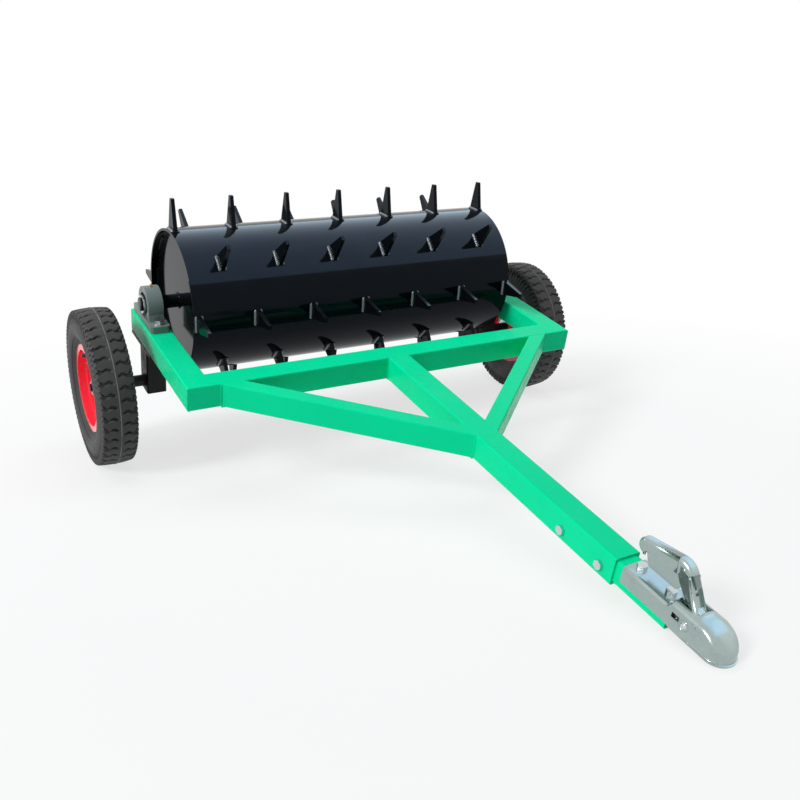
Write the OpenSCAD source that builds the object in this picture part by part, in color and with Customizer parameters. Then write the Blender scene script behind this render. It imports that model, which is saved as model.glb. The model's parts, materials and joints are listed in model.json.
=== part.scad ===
// Tow behind aerator: a spiked drum in a welded tube frame on two wheels,
// with a telescopic drawbar and a 50 mm ball coupler.
// Pieces are drawn level: top of the frame tubes at z = 0, front of the cross member at y = 0,
// hitch towards -Y. The module parked() then tips them onto the wheels and the coupler's nose.

/* [Frame] */
// Width over the two rails
frame_w = 1100; // [1000:1:1200]
// Length of a rail from the front face to its rear end
rail_len = 468; // [420:1:520]
// Outer size of the square frame tube
tube = 60; // [56:1:70]
// Wall of the frame tube
tube_wall = 4.5; // [3:0.1:5]
// Outer corner radius of the frame tube
tube_corner = 4; // [3:0.5:8]
// Width of a brace tube, as tall as the frame tube
brace_w = 40; // [30:1:60]
// Outer end of a brace on the cross member, from the middle
brace_x = 470; // [380:1:490]
// Outer end of a brace on the drawbar, from the cross member
brace_y = 397; // [300:1:500]
// Length of the outer drawbar tube
drawbar_len = 857; // [800:1:1000]

/* [Tongue] */
// Clearance between the tongue and the drawbar on each side
tongue_clear = 0.5; // [0.3:0.1:0.8]
// Wall of the tongue tube
tongue_wall = 4; // [3:0.1:5]
// Length of tongue that shows in front of the drawbar
tongue_out = 134; // [132:1:150]
// Length of tongue inside the drawbar
tongue_in = 190; // [180:1:300]
// Shank of the cross bolts through drawbar and tongue
cross_bolt_d = 12; // [8:1:14]
// Front cross bolt from the end of the drawbar
cross_bolt_front = 34; // [25:1:50]
// Spacing of the two cross bolts
cross_bolt_span = 114; // [80:1:130]
// Depth of the cross bolts below the top of the tube
cross_bolt_drop = 36; // [26:1:38]

/* [Drum] */
// Outer diameter of the drum shell
drum_d = 370; // [320:1:400]
// Length of the drum shell
drum_len = 936; // [900:1:950]
// Wall of the drum shell
shell_wall = 6; // [4:0.5:10]
// How far the end plates sit inside the rim
end_recess = 18; // [5:1:40]
// Thickness of the end plates
end_plate_t = 8; // [5:0.5:12]
// Clearance at welded round seats
weld_gap = 0.1; // [0.05:0.05:0.2]

/* [Spikes] */
// Spikes in a long row, the rows between have one less
spikes_long = 7; // [3:1:7]
// Spacing of the spikes along the drum
spike_pitch = 152; // [120:1:152]
// Length of a spike from the drum surface
spike_len = 79; // [50:1:100]
// Width of a spike at its base
spike_base = 42; // [30:1:60]
// Width of a spike at its tip
spike_tip = 11; // [6:1:20]
// Plate thickness of a spike at its base
spike_t = 11; // [6:0.5:14]
// Leg of the fillet weld round a spike's foot
spike_weld = 5; // [3:0.5:7]
// Angle of the first row, from straight back, turning upwards
first_row = 86; // [70:1:100]

/* [Bearing blocks] */
// Shaft diameter
shaft_d = 35; // [30:1:38]
// Shaft height above the frame
block_h = 47.6; // [47:0.1:55]
// Length of the block's foot
block_len = 167; // [160:1:170]
// Width of the block's foot
block_w = 48; // [44:1:50]
// Height of the block's foot
block_foot = 18; // [14:1:20]
// Radius of the housing round the bearing
block_r = 45.4; // [44:0.1:48]
// Length of rail that shows behind the block's foot
block_setback = 2.5; // [1:0.5:20]
// Corner radius of the block's foot
block_corner = 7; // [3:0.5:12]
// Spacing of the block's two bolts
block_span = 127; // [124:1:130]
// Bolt shank
block_bolt_d = 14; // [12:1:14]
// Radius of the bearing's round outer seat
insert_r = 36; // [35:0.1:37]
// Width of the bearing's outer ring
insert_w = 20; // [18:1:22]
// Ball radius of the drum bearings
insert_ball_r = 5.5; // [4.5:0.1:5.6]

/* [Legs and axles] */
// Width of a leg across the machine
leg_w = 50; // [44:1:54]
// Depth of a leg along the machine
leg_d = 60; // [50:1:62]
// Wall of a leg
leg_wall = 4; // [3:0.5:6]
// Thickness of the bolted plate on top of a leg
leg_plate_t = 8; // [6:1:10]
// How far the axle lies ahead of the drum's axis
axle_ahead = 21; // [16:1:22]
// Axle below the top of the frame
axle_drop = 158; // [140:1:180]
// Length of leg below the axle
leg_tail = 27; // [22:1:40]
// Axle diameter between leg and wheel
axle_d = 30; // [26:1:32]
// Axle diameter inside the wheel bearings
journal_d = 25; // [22:1:25]
// Thread diameter at the outer end of the axle
axle_thread_d = 20; // [16:1:20]

/* [Wheels] */
// Diameter over the tread
tyre_d = 406; // [398:1:420]
// Width of the tyre at its widest
tyre_w = 94; // [88:1:104]
// Middle of the wheel from the middle of the machine
wheel_x = 661; // [655:1:700]
// Radius of the rim's bead seat
rim_seat_r = 101.6; // [99:0.1:103]
// Half width of the rim inside its flanges
rim_half_w = 32; // [30:1:34]
// Height of the rim flange above the bead seat
rim_flange = 12.5; // [10:0.5:13]
// Sheet thickness of the rim
rim_t = 3; // [2:0.5:4]
// Number of tread grooves on each side
tread_count = 42; // [20:1:48]
// Width of a tread groove
tread_groove_w = 4.5; // [3:0.5:6]
// Depth of a tread groove
tread_depth = 7; // [3:0.5:8]
// Slant of a tread groove, in degrees
tread_slant = 13; // [5:1:20]
// Slope of a groove's floor towards the shoulder, in degrees
tread_fall = 9; // [4:1:12]
// Half width of the unbroken middle band of the tread
tread_middle = 13; // [6:1:20]
// Length of the hub
hub_len = 60; // [56:1:70]
// How far the hub's outer end stands out from the middle of the wheel
hub_out = 8; // [6:1:20]
// Number of bolts that hold a rim to its hub
wheel_bolt_count = 4; // [3:1:6]

/* [Coupler] */
// Sheet thickness of the coupler
coupler_t = 4; // [3:0.5:5]
// Length of the coupler from its rear edge to its nose
coupler_len = 242; // [238:1:250]
// Gap between the drawbar's end and the coupler
coupler_gap = 20; // [15:1:25]
// Depth of the channel below its top
channel_depth = 35.3; // [32:0.1:40]
// Half width of the head and radius of its nose
head_r = 30.5; // [30:0.5:33]
// Height of the head above the underside of its lip
head_h = 54; // [52:0.5:58]
// Radius of the dome pressed over the ball
dome_r = 60; // [57:1:70]
// Radius of the rounded shoulder along each side of the head
head_edge = 10; // [8:0.5:12]
// Width of the turned lip outside the head
lip_w = 2.5; // [2:0.5:5]
// Thickness of the turned lip
lip_t = 3.5; // [3:0.5:5]
// Diameter of the towing ball
ball_d = 50; // [48:0.1:50.8]
// Clearance of the ball in its seat
ball_clear = 0.5; // [0.3:0.1:0.8]
// Width of the handle
handle_w = 24; // [22:1:26]
// Sheet thickness of the handle
handle_t = 3; // [2:0.5:4]
// Half depth of the handle's pressed channel
handle_r = 15.5; // [14:0.5:17]
// Radius of the handle's rounded top edges
handle_edge = 8; // [6:0.5:9]
// Outer radius of the handle's bend
handle_bend = 35; // [30:1:40]
// Thickness of the finger plate inside the handle
trigger_w = 10; // [6:1:14]
// Finger room between the channel's top and the finger plate
trigger_gap = 18; // [14:1:22]
// Handle pivot pin diameter
pivot_d = 10; // [8:0.5:11]
// Shank of the two bolts through the coupler's top
coupler_bolt_d = 12; // [10:1:12]
// Turns of the jaw spring
spring_turns = 6; // [4:1:7]
// Wire of the jaw spring
spring_wire = 1.8; // [1.2:0.1:2.2]

/* [Hidden] */
$fn = 64;
eps = 0.02;
// Gap left in a running fit, and between a bolt and its hole
run = 0.06;
bolt_slack = 0.5;
// Rows of spikes round the drum, one node for each
spike_rows = 8;

// Tongue and coupler, along the drawbar
tongue = tube - 2 * tube_wall - 2 * tongue_clear;
tongue_corner = 5;
tongue_top = -tube_wall - tongue_clear;
tongue_mid = tongue_top - tongue / 2;
tongue_front = -drawbar_len - tongue_out;
coupler_fit = 0.3;
channel_in = tongue / 2 + coupler_fit;
channel_half = channel_in + coupler_t;
channel_top = tongue_top + coupler_fit + coupler_t;
channel_bottom = channel_top - channel_depth;
channel_corner = 9;
coupler_rear = -drawbar_len - coupler_gap;
lip_r = head_r + lip_w;
nose_y = coupler_rear - coupler_len;
ball_y = nose_y + lip_r;
ball_rise = 15;
ball_z = channel_bottom + ball_rise;
seat_r = ball_d / 2 + ball_clear;
mouth_r = seat_r + 2;
head_top = channel_bottom + head_h;
dome_z = head_top - dome_r;
fall_y = ball_y + 20;
fall_lean = 10;
fall_end = 44;
fall_centre = [fall_y + dome_r * sin(fall_lean), head_top - dome_r * cos(fall_lean)];
step_y = tongue_front + 6;
step_run = 12;
pivot_y = ball_y + 38;
pivot_z = head_top - 17;
pivot = [pivot_y, pivot_z];
boss_r = pivot_d / 2 + 3.5;
opening_front = pivot_y + 2;
opening_rear = step_y - step_run;
handle_slack = 6;
handle_seam = 0.05;
cheek_proud = 0.5;
cheek_in = handle_w / 2 - handle_t;

// Middle line of the handle in the Y-Z plane: rear end, corner of the bend and foot of the shank
grip_rear = [coupler_rear - 16, channel_top + 52.7];
grip_knee = [coupler_rear - 107, channel_top + 70.7];
shank_foot = pivot + [24, 7.6];
shank_drop = 12;
shank_open = 37;
grip_turn = atan2(grip_rear[1] - grip_knee[1], grip_rear[0] - grip_knee[0]);
shank_turn = atan2(grip_knee[1] - shank_foot[1], grip_knee[0] - shank_foot[0]);
bend_turn = shank_turn - grip_turn;
bend_mid = handle_bend - handle_r;
bend_cut = bend_mid * tan(bend_turn / 2);
bend_lean = (grip_turn + shank_turn) / 2 - 90;
bend_centre = grip_knee + bend_mid / cos(bend_turn / 2) * [cos(bend_lean), sin(bend_lean)];
grip_len = norm(grip_rear - grip_knee) - bend_cut;
shank_len = norm(grip_knee - shank_foot) - bend_cut;
function grip_at(along, out) = grip_rear - along * [cos(grip_turn), sin(grip_turn)]
    + out * [-sin(grip_turn), cos(grip_turn)];
function shank_at(along, out) = shank_foot + along * [cos(shank_turn), sin(shank_turn)]
    + out * [-sin(shank_turn), cos(shank_turn)];
trigger_z = channel_top + trigger_gap;
trigger_front = bend_centre[0] - 8;

// Jaw, its spring and the coupler's fasteners
jaw_half = cheek_in - 0.3;
jaw_seat_r = seat_r + 0.4;
jaw_heel = pivot + [9, -8];
jaw_foot = [pivot_y + 1, channel_bottom + 2];
jaw_tip = [ball_y + 19, channel_bottom + 2];
jaw_slope = (jaw_heel[0] - jaw_foot[0]) / (jaw_heel[1] - jaw_foot[1]);
jaw_face = handle_r - 7.8;
jaw_top = 42;
coupler_bolt_rear = coupler_rear - 16;
coupler_bolt_span = 74;
web_t = 3;
web_y = tongue_front - 20;
spring_r = 6;
spring_z = channel_bottom + 10;
spring_seat = 0.3;
spring_front = jaw_foot[0] + jaw_slope * (spring_z + spring_r - jaw_foot[1]);
side_slot = [17.6, 9];
side_slot_y = tongue_front - 19;
side_slot_z = ball_z + 10;
rivet_y = pivot_y + 17.6;
rivet_z = ball_z + 9.4;
rivet_r = 4;
handle_rivet_r = 2.2;

// Drum and its bearings
drum_y = rail_len - block_setback - block_len / 2;
drum_r = drum_d / 2;
drum_z = block_h;
tip_r = drum_r + spike_len;
spike_taper = 1;
row_step = 360 / spike_rows;
shaft_r = shaft_d / 2;
block_x = frame_w / 2 - tube / 2;
housing_w = 38;
inner_ring_in = 17.5;
inner_ring_out = 25.4;
race_r = shaft_r + 9;
inner_ring_r = shaft_r + 6;
outer_race_r = race_r + 3;
groove_gap = 0.1;
ball_count = 9;
seal_gap = 0.3;
seal_t = 1.5;
shaft_end = 4;
block_hole_r = block_bolt_d / 2 + bolt_slack;
block_head_af = 1.5 * block_bolt_d;
block_washer_t = 2.5;
flank_half = block_span / 2 - 9;
set_screw_r = 4;
set_screw_x = inner_ring_out - 6;

// Legs, axles and wheel bearings, the right side with +X outboard
leg_x = frame_w / 2 - leg_w / 2;
leg_top = -tube - leg_plate_t;
leg_bottom = -axle_drop - leg_tail;
axle_y = drum_y - axle_ahead;
leg_plate_front = drum_y - 82;
axle_z = -axle_drop;
bearing_r = journal_d / 2 + 13.5;
bearing_w = 15;
wheel_ball_r = 3.9;
wheel_race_r = journal_d / 2 + 6.9;
bearing_in_x = wheel_x + hub_out - hub_len + 1;
bearing_out_x = wheel_x + hub_out - 1;
axle_washer_t = 3;
axle_nut_h = 14;
axle_end_x = bearing_out_x + axle_washer_t + axle_nut_h + 4;
pin_r = 1.8;
axle_nut_af = 1.5 * axle_thread_d;

// Wheels, measured from the wheel's own middle
tyre_r = tyre_d / 2;
mould_rib_h = 0.8;
crown_r = tyre_r - mould_rib_h;
tread_half = tyre_w / 2 - 4;
crown_arc = 260;
wall_arc = 40;
wall_r = tyre_r - 51;
wall_u = tyre_w / 2 - wall_arc;
casing = 8.5;
bead_gap = 0.3;
bead_r = rim_seat_r + bead_gap;
bead_half = rim_half_w - bead_gap;
well_r = rim_seat_r - 14.5;
well_half = 15;
hub_r = bearing_r + 7;
hub_flange_r = hub_r + 25;
hub_flange_t = 6;
wheel_bolt_r = 4;
wheel_bolt_pcr = hub_r + 13;
tube_pipe_r = wall_arc - casing - 0.3;
stem_r = 4;
stem_at = well_r + 6.5;

// Parked pose: wheels and the lip of the nose on the ground
park_dy = axle_y - nose_y;
park_dz = channel_bottom - axle_z;
park_pitch = atan2(park_dz, park_dy) + asin(tyre_r / norm([park_dy, park_dz]));
park_rise = tyre_r - (axle_y * sin(park_pitch) + axle_z * cos(park_pitch));
function parked_y(y, z) = y * cos(park_pitch) - z * sin(park_pitch);
rear_spikes = [for (k = [0 : spike_rows - 1]) let (a = first_row + k * row_step + park_pitch)
    tip_r * cos(a) + spike_tip / 2 * abs(sin(a))];
rear_end = max(parked_y(drum_y, drum_z) + max(rear_spikes), parked_y(axle_y, axle_z) + tyre_r);
front_end = min(parked_y(nose_y, channel_bottom), parked_y(nose_y, channel_bottom + lip_t));
park_shift = -(rear_end + front_end) / 2;

// Placing helpers

module parked() {
    translate([0, park_shift, park_rise]) rotate([park_pitch, 0, 0]) children();
}

// Draws the right side as it is and the left side as its mirror image
module sided(s) {
    if (s > 0) children();
    else mirror([1, 0, 0]) children();
}

// A flat outline in the Y-Z plane, drawn out along X about the middle
module yz(width) {
    rotate([90, 0, 90]) linear_extrude(width, center = true) children();
}

// A flat outline in the X-Z plane, drawn out towards -Y
module xz(length) {
    rotate([90, 0, 0]) linear_extrude(length) children();
}

// A half outline given as radius and X, turned round the X axis
module revolve_x(angle = 360) {
    rotate([90, 0, 90]) rotate_extrude(angle = angle) children();
}

// Places children at a point of the Y-Z plane, with their +Y turned up by an angle
module in_side(p, a) {
    translate([0, p[0], p[1]]) rotate([a, 0, 0]) children();
}

module rod_x(r, length) {
    rotate([0, 90, 0]) cylinder(r = r, h = length, center = true);
}

// Flat outlines

module round_square(w, h, r) {
    square([w - 2 * r, h], center = true);
    square([w, h - 2 * r], center = true);
    for (x = [-1, 1], y = [-1, 1]) translate([x * (w / 2 - r), y * (h / 2 - r)]) circle(r);
}

module tube_section(size_x, size_y, wall, corner) {
    difference() {
        round_square(size_x, size_y, corner);
        round_square(size_x - 2 * wall, size_y - 2 * wall, max(corner - wall, 0.5));
    }
}

// A bar with round ends between two points, its sides a hair inside the ends so that they cross
module capsule(a, b, r) {
    for (p = [a, b]) translate(p) circle(r);
    d = b - a;
    translate(a) rotate(atan2(d[1], d[0])) translate([0, eps - r]) square([norm(d), 2 * (r - eps)]);
}

// Fasteners, along +Z from the face that they clamp

module hex_head(af, h) {
    cylinder(r = af / 2 / cos(30), h = h, $fn = 6);
}

module hex_bolt(d, grip, tail, af, head_h) {
    hex_head(af, head_h);
    translate([0, 0, -grip - tail]) cylinder(d = d, h = grip + tail + eps);
}

module hex_nut(d, af, h) {
    difference() {
        hex_head(af, h);
        translate([0, 0, -1]) cylinder(d = d + 2 * run, h = h + 2);
    }
}

// Frame tubes

module frame_section() {
    translate([tube / 2, -tube / 2]) tube_section(tube, tube, tube_wall, tube_corner);
}

module plan_prism() {
    translate([0, 0, -2 * tube]) linear_extrude(4 * tube) children();
}

module block_bolt_holes(r) {
    for (k = [-1, 1]) translate([block_x, drum_y + k * block_span / 2, -2 * tube])
        cylinder(r = r, h = 4 * tube);
}

module rail(s) {
    color("mediumspringgreen") parked() sided(s) difference() {
        intersection() {
            translate([frame_w / 2 - tube, rail_len, 0]) xz(rail_len) frame_section();
            plan_prism() polygon([[frame_w / 2, 0], [frame_w / 2, rail_len],
                                  [frame_w / 2 - tube, rail_len], [frame_w / 2 - tube, tube]]);
        }
        block_bolt_holes(block_hole_r);
    }
}

module front_crossmember() {
    color("mediumspringgreen") parked() intersection() {
        yz(frame_w) frame_section();
        plan_prism() polygon([[-frame_w / 2, 0], [frame_w / 2, 0],
                              [frame_w / 2 - tube, tube], [tube - frame_w / 2, tube]]);
    }
}

module cross_bolt_places() {
    for (k = [0, 1]) translate([0, -drawbar_len + cross_bolt_front + k * cross_bolt_span, -cross_bolt_drop]) children();
}

module drawbar() {
    color("mediumspringgreen") parked() difference() {
        translate([-tube / 2, 0, 0]) xz(drawbar_len) frame_section();
        cross_bolt_places() rod_x(cross_bolt_d / 2 + bolt_slack, 2 * tube);
    }
}

module brace(s) {
    start = [brace_x, 0];
    run_xy = [tube / 2, -brace_y] - start;
    reach = norm(run_xy) + 2 * tube;
    color("mediumspringgreen") parked() sided(s) intersection() {
        translate(start) rotate(atan2(run_xy[1], run_xy[0])) translate([reach / 2 - tube, -brace_w / 2, -tube / 2])
            yz(reach) tube_section(brace_w, tube, tube_wall, tube_corner);
        plan_prism() translate([tube / 2, -2 * brace_y]) square([frame_w, 2 * brace_y]);
    }
}

// Tongue and its bolts

module coupler_bolt_places() {
    for (k = [0, 1]) translate([0, coupler_bolt_rear - k * coupler_bolt_span, 0]) children();
}

module drawbar_tongue() {
    color("mediumseagreen") parked() difference() {
        translate([0, -drawbar_len + tongue_in, tongue_mid])
            xz(tongue_in + tongue_out) tube_section(tongue, tongue, tongue_wall, tongue_corner);
        cross_bolt_places() rod_x(cross_bolt_d / 2 + bolt_slack, 2 * tube);
        coupler_bolt_places() translate([0, 0, -2 * tube]) cylinder(d = coupler_bolt_d + 2 * bolt_slack, h = 3 * tube);
    }
}

module drawbar_bolts() {
    color("gainsboro") parked() cross_bolt_places() translate([-tube / 2, 0, 0]) rotate([0, -90, 0])
        hex_bolt(cross_bolt_d, tube, 0.8 * cross_bolt_d + 4, 1.5 * cross_bolt_d, 0.65 * cross_bolt_d);
}

module drawbar_nuts() {
    color("gainsboro") parked() cross_bolt_places() translate([tube / 2, 0, 0]) rotate([0, 90, 0])
        hex_nut(cross_bolt_d, 1.5 * cross_bolt_d, 0.8 * cross_bolt_d);
}

// Ball coupler

// Section of the channel with its rounded top edges
module channel_section(half, top, corner, base) {
    translate([-half, base]) square([2 * half, top - corner - base]);
    translate([corner - half, base]) square([2 * (half - corner), top - base]);
    for (k = [-1, 1]) translate([k * (half - corner), top - corner]) circle(corner);
}

// Section of the head: flat sides, rounded shoulders and a crowned top.
// The crown lies a hair inside the shoulders so that the arcs cross.
module head_section(inset, base) {
    half = head_r - inset;
    edge = head_edge - inset;
    r = dome_r - inset;
    edge_x = half - edge;
    edge_rise = sqrt(pow(r - edge, 2) - pow(edge_x, 2));
    translate([-half, base]) square([2 * half, dome_z + edge_rise - base]);
    for (k = [-1, 1]) translate([k * edge_x, dome_z + edge_rise]) circle(edge);
    translate([0, dome_z]) intersection() {
        circle(r - eps);
        polygon([[0, 0], 2 * [edge_x, edge_rise], 2 * [-edge_x, edge_rise]]);
    }
}

// Side view of the head: the ramp, the roof and the fall over the nose, which ends in a straight line
module head_side(inset, base) {
    ramp = step_y - 1.4 * inset;
    roof = channel_top - inset + 1.3 * (head_top - channel_top);
    fall_mid = fall_centre + (dome_r - inset) * cos(3) * [-sin(fall_end), cos(fall_end)];
    fall_foot = fall_mid - 2 * dome_r * [cos(fall_end), sin(fall_end)];
    intersection() {
        polygon([[ramp, base - 1], [ramp, channel_top - inset], [ramp - 1.3 * step_run, roof],
                 [nose_y - lip_r, roof], [nose_y - lip_r, base - 1]]);
        union() {
            translate(fall_centre) circle(dome_r - inset);
            translate([fall_centre[0], base - 2]) square([coupler_len, 2 * head_h]);
            polygon([fall_mid, fall_foot, [fall_centre[0], fall_foot[1]]]);
        }
    }
}

module head_plan(inset) {
    r = head_r + 1 - inset;
    ramp = step_y - 1.4 * inset;
    translate([0, ball_y]) circle(r);
    polygon([[channel_half - inset, ramp], [r, ramp - step_run], [r, ball_y], [-r, ball_y],
             [-r, ramp - step_run], [inset - channel_half, ramp]]);
}

// Head: what its section, its side view and its plan have in common
module head_form(inset, base) {
    intersection() {
        translate([0, step_y, 0]) xz(step_y - nose_y + lip_r) head_section(inset, base);
        yz(4 * head_r) head_side(inset, base);
        plan_prism() head_plan(inset);
    }
}

module lip_plan() {
    translate([0, ball_y]) circle(lip_r);
    polygon([[lip_r, ball_y], [lip_r, fall_y], [channel_half, step_y], [-channel_half, step_y],
             [-lip_r, fall_y], [-lip_r, ball_y]]);
}

module ball_seat() {
    translate([0, ball_y, ball_z]) sphere(seat_r);
    translate([0, ball_y, channel_bottom - 1]) cylinder(r1 = mouth_r, r2 = seat_r, h = ball_rise + 1);
}

module coupler_body() {
    handle_gap = handle_w / 2 + handle_slack;
    channel_len = coupler_rear - tongue_front + step_run;
    web_half = head_r - coupler_t + 1;
    color("lightgray") parked() {
        difference() {
            union() {
                translate([0, coupler_rear, 0]) xz(channel_len)
                    channel_section(channel_half, channel_top, channel_corner, channel_bottom);
                head_form(0, channel_bottom);
                translate([0, 0, channel_bottom]) linear_extrude(lip_t) lip_plan();
            }
            translate([0, coupler_rear + 1, 0]) xz(channel_len + 4)
                channel_section(channel_in, channel_top - coupler_t, channel_corner - coupler_t, channel_bottom - 1);
            intersection() {
                head_form(coupler_t, channel_bottom - 1);
                translate([-head_r, ball_y + 11, channel_bottom - 1]) cube([2 * head_r, coupler_len, 2 * head_h]);
            }
            ball_seat();
            translate([-handle_gap, opening_front, channel_top - coupler_t - eps])
                cube([2 * handle_gap, opening_rear - opening_front, head_h]);
            translate([0, pivot_y, pivot_z]) rod_x(pivot_d / 2 + run, 4 * head_r);
            for (k = [-1, 1]) translate([k * head_r, rivet_y, rivet_z]) rod_x(rivet_r + run, 4 * coupler_t);
            translate([0, side_slot_y, side_slot_z]) cube([4 * head_r, side_slot[0], side_slot[1]], center = true);
            coupler_bolt_places() cylinder(d = coupler_bolt_d + 2 * bolt_slack, h = 3 * tube, center = true);
        }
        translate([-web_half, web_y, channel_bottom + 2])
            cube([2 * web_half, web_t, spring_z + spring_r + 3 - channel_bottom - 2]);
    }
}

module coupler_bolts() {
    color("gainsboro") parked() coupler_bolt_places() translate([0, 0, channel_top])
        hex_bolt(coupler_bolt_d, channel_top - tongue_top + tongue, 0.8 * coupler_bolt_d + 3,
                 1.5 * coupler_bolt_d, 0.65 * coupler_bolt_d);
}

module coupler_nuts() {
    nut_h = 0.8 * coupler_bolt_d;
    color("gainsboro") parked() coupler_bolt_places() translate([0, 0, tongue_top - tongue - nut_h])
        hex_nut(coupler_bolt_d, 1.5 * coupler_bolt_d, nut_h);
}

module handle_pin() {
    color("silver") parked() translate([0, pivot_y, pivot_z]) rod_x(pivot_d / 2, 2 * head_r + 1.6);
}

module side_rivets() {
    color("gainsboro") parked() for (s = [-1, 1]) sided(s) translate([head_r, rivet_y, rivet_z]) {
        translate([-coupler_t / 2 - 1, 0, 0]) rod_x(rivet_r, coupler_t + 2);
        rotate([0, 90, 0]) cylinder(r1 = 1.6 * rivet_r, r2 = 1.1 * rivet_r, h = 0.6 * rivet_r);
    }
}

// One unbroken spring wire, swept as rings of points along its helix
spring_sides = 6;
spring_rings = 8 * spring_turns;
spring_len = web_y - spring_seat - spring_front - spring_seat;
spring_pitch = (spring_len - spring_wire) / spring_turns;
function spring_point(i) = let (a = 360 * i / 8)
    [spring_r * cos(a), spring_front + spring_seat + spring_wire / 2 + spring_pitch * i / 8, spring_z + spring_r * sin(a)];
function spring_ring(i) = let (a = 360 * i / 8, c = spring_point(i), rise = atan(spring_pitch / (2 * PI * spring_r)))
    [for (j = [0 : spring_sides - 1]) let (b = 360 * j / spring_sides, out = cos(b), up = sin(b))
        c + spring_wire / 2 * [out * cos(a) + up * sin(a) * sin(rise), up * cos(rise),
                               out * sin(a) - up * cos(a) * sin(rise)]];

module tube_along(rings, sides) {
    count = len(rings);
    points = [for (ring = rings) for (p = ring) p];
    walls = [for (i = [0 : count - 2]) for (j = [0 : sides - 1]) let (a = i * sides + j, b = i * sides + (j + 1) % sides)
        each [[a, b, b + sides], [a, b + sides, a + sides]]];
    first = [for (j = [1 : sides - 2]) [0, j + 1, j]];
    last = [for (j = [1 : sides - 2]) let (base = (count - 1) * sides) [base, base + j, base + j + 1]];
    polyhedron(points, concat(walls, first, last));
}

module jaw_spring() {
    echo(spring_gap = spring_pitch * cos(atan(spring_pitch / (2 * PI * spring_r))) - spring_wire);
    color("dimgray") parked() tube_along([for (i = [0 : spring_rings]) spring_ring(i)], spring_sides);
}

// Section of the handle's pressed channel: across, and outwards from the middle of its depth
module handle_section(inset, low) {
    half = handle_w / 2 - inset;
    top = handle_r - inset;
    edge = handle_edge - inset;
    translate([-half, low]) square([2 * half, top - edge - low]);
    translate([edge - half, low]) square([2 * (half - edge), top - low]);
    for (k = [-1, 1]) translate([k * (half - edge), top - edge]) circle(edge);
}

// The section taken round the rear end, along the grip, round the bend and down the shank.
// The straight runs are a hair slimmer and reach into the turned ones, so that the pieces overlap.
module handle_sweep(inset, low, reach) {
    in_side(grip_rear, grip_turn - 90) revolve_x(180) mirror([1, -1]) intersection() {
        handle_section(inset, 0);
        translate([-handle_w, 0]) square([2 * handle_w, 2 * handle_r]);
    }
    in_side(grip_rear, grip_turn) translate([0, reach, 0]) xz(grip_len + 2 * reach)
        handle_section(inset + handle_seam, low + handle_seam);
    in_side(bend_centre, grip_turn + 90) revolve_x(bend_turn)
        translate([bend_mid, 0]) mirror([1, -1]) handle_section(inset, low);
    in_side(shank_foot, shank_turn) translate([0, shank_len + reach, 0])
        xz(shank_len + reach + shank_drop + inset) handle_section(inset + handle_seam, low + handle_seam);
}

module handle_trigger() {
    yz(trigger_w) polygon([grip_at(2, handle_r - 1), grip_at(2, -handle_r / 2), [grip_rear[0] - 11, trigger_z + 9],
        [grip_rear[0] - 18, trigger_z], [trigger_front + 7, trigger_z], [trigger_front, trigger_z + 7],
        [trigger_front, grip_knee[1]], grip_at(grip_len - 2, handle_r - 1)]);
}

module coupler_handle() {
    color("lightgray") parked() difference() {
        union() {
            difference() {
                handle_sweep(0, -handle_r, 0.8);
                handle_sweep(handle_t, -handle_r - 1, 0.6);
            }
            handle_trigger();
            yz(handle_w + 2 * cheek_proud) capsule(pivot, shank_at(-8, 2), boss_r);
            for (p = [grip_knee + [-2, -2], shank_at(shank_len - 4, handle_r - 6)])
                translate([0, p[0], p[1]]) rod_x(handle_rivet_r, handle_w + 1.6);
        }
        in_side(shank_foot, shank_turn) translate([-cheek_in, -3 * shank_drop, -2 * handle_r])
            cube([2 * cheek_in, shank_open + 3 * shank_drop, 4 * handle_r]);
        translate([0, pivot_y, pivot_z]) rod_x(pivot_d / 2 + run, 2 * handle_w);
    }
}

// Jaw between the handle's cheeks: a hook under the ball, and an arm whose slotted end shows in front
module coupler_jaw() {
    color("darkgray") parked() difference() {
        yz(2 * jaw_half) {
            translate(pivot) circle(boss_r);
            polygon([pivot - [boss_r - 1, 0], [ball_y + 21, ball_z + 10], jaw_tip + [0, 6], jaw_tip, jaw_foot, jaw_heel,
                     shank_at(-6, -5), shank_at(jaw_top, -5), shank_at(jaw_top, jaw_face), shank_at(4, jaw_face),
                     pivot + [4, 6.5]]);
        }
        translate([0, ball_y, ball_z]) sphere(jaw_seat_r);
        translate([0, pivot_y, pivot_z]) rod_x(pivot_d / 2 + run, 2 * handle_w);
        in_side(shank_at(jaw_top - 15, jaw_face), shank_turn) cube([jaw_half, 5.5, 8], center = true);
    }
}

// Drum bearings in their cast blocks

module block_side() {
    translate([drum_y, drum_z]) circle(block_r);
    polygon([[drum_y - flank_half, 0], [drum_y + flank_half, 0], [drum_y + block_r * 0.93, drum_z * 0.8],
             [drum_y - block_r * 0.93, drum_z * 0.8]]);
}

module block_foot_plan() {
    translate([block_x, drum_y]) round_square(block_w, block_len, block_corner);
}

module pillow_block(s) {
    color("slategray") parked() sided(s) difference() {
        union() {
            linear_extrude(block_foot) block_foot_plan();
            translate([block_x, 0, 0]) intersection() {
                yz(housing_w) block_side();
                translate([-housing_w, drum_y - block_len, 0]) cube([2 * housing_w, 2 * block_len, 4 * block_r]);
            }
        }
        translate([block_x, drum_y, drum_z]) sphere(insert_r + run);
        block_bolt_holes(block_hole_r);
        translate([block_x, drum_y, drum_z]) cylinder(r = 3 + run, h = 2 * block_r);
    }
}

module ball_groove(pitch_r, r) {
    revolve_x() translate([pitch_r, 0]) circle(r);
}

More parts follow.
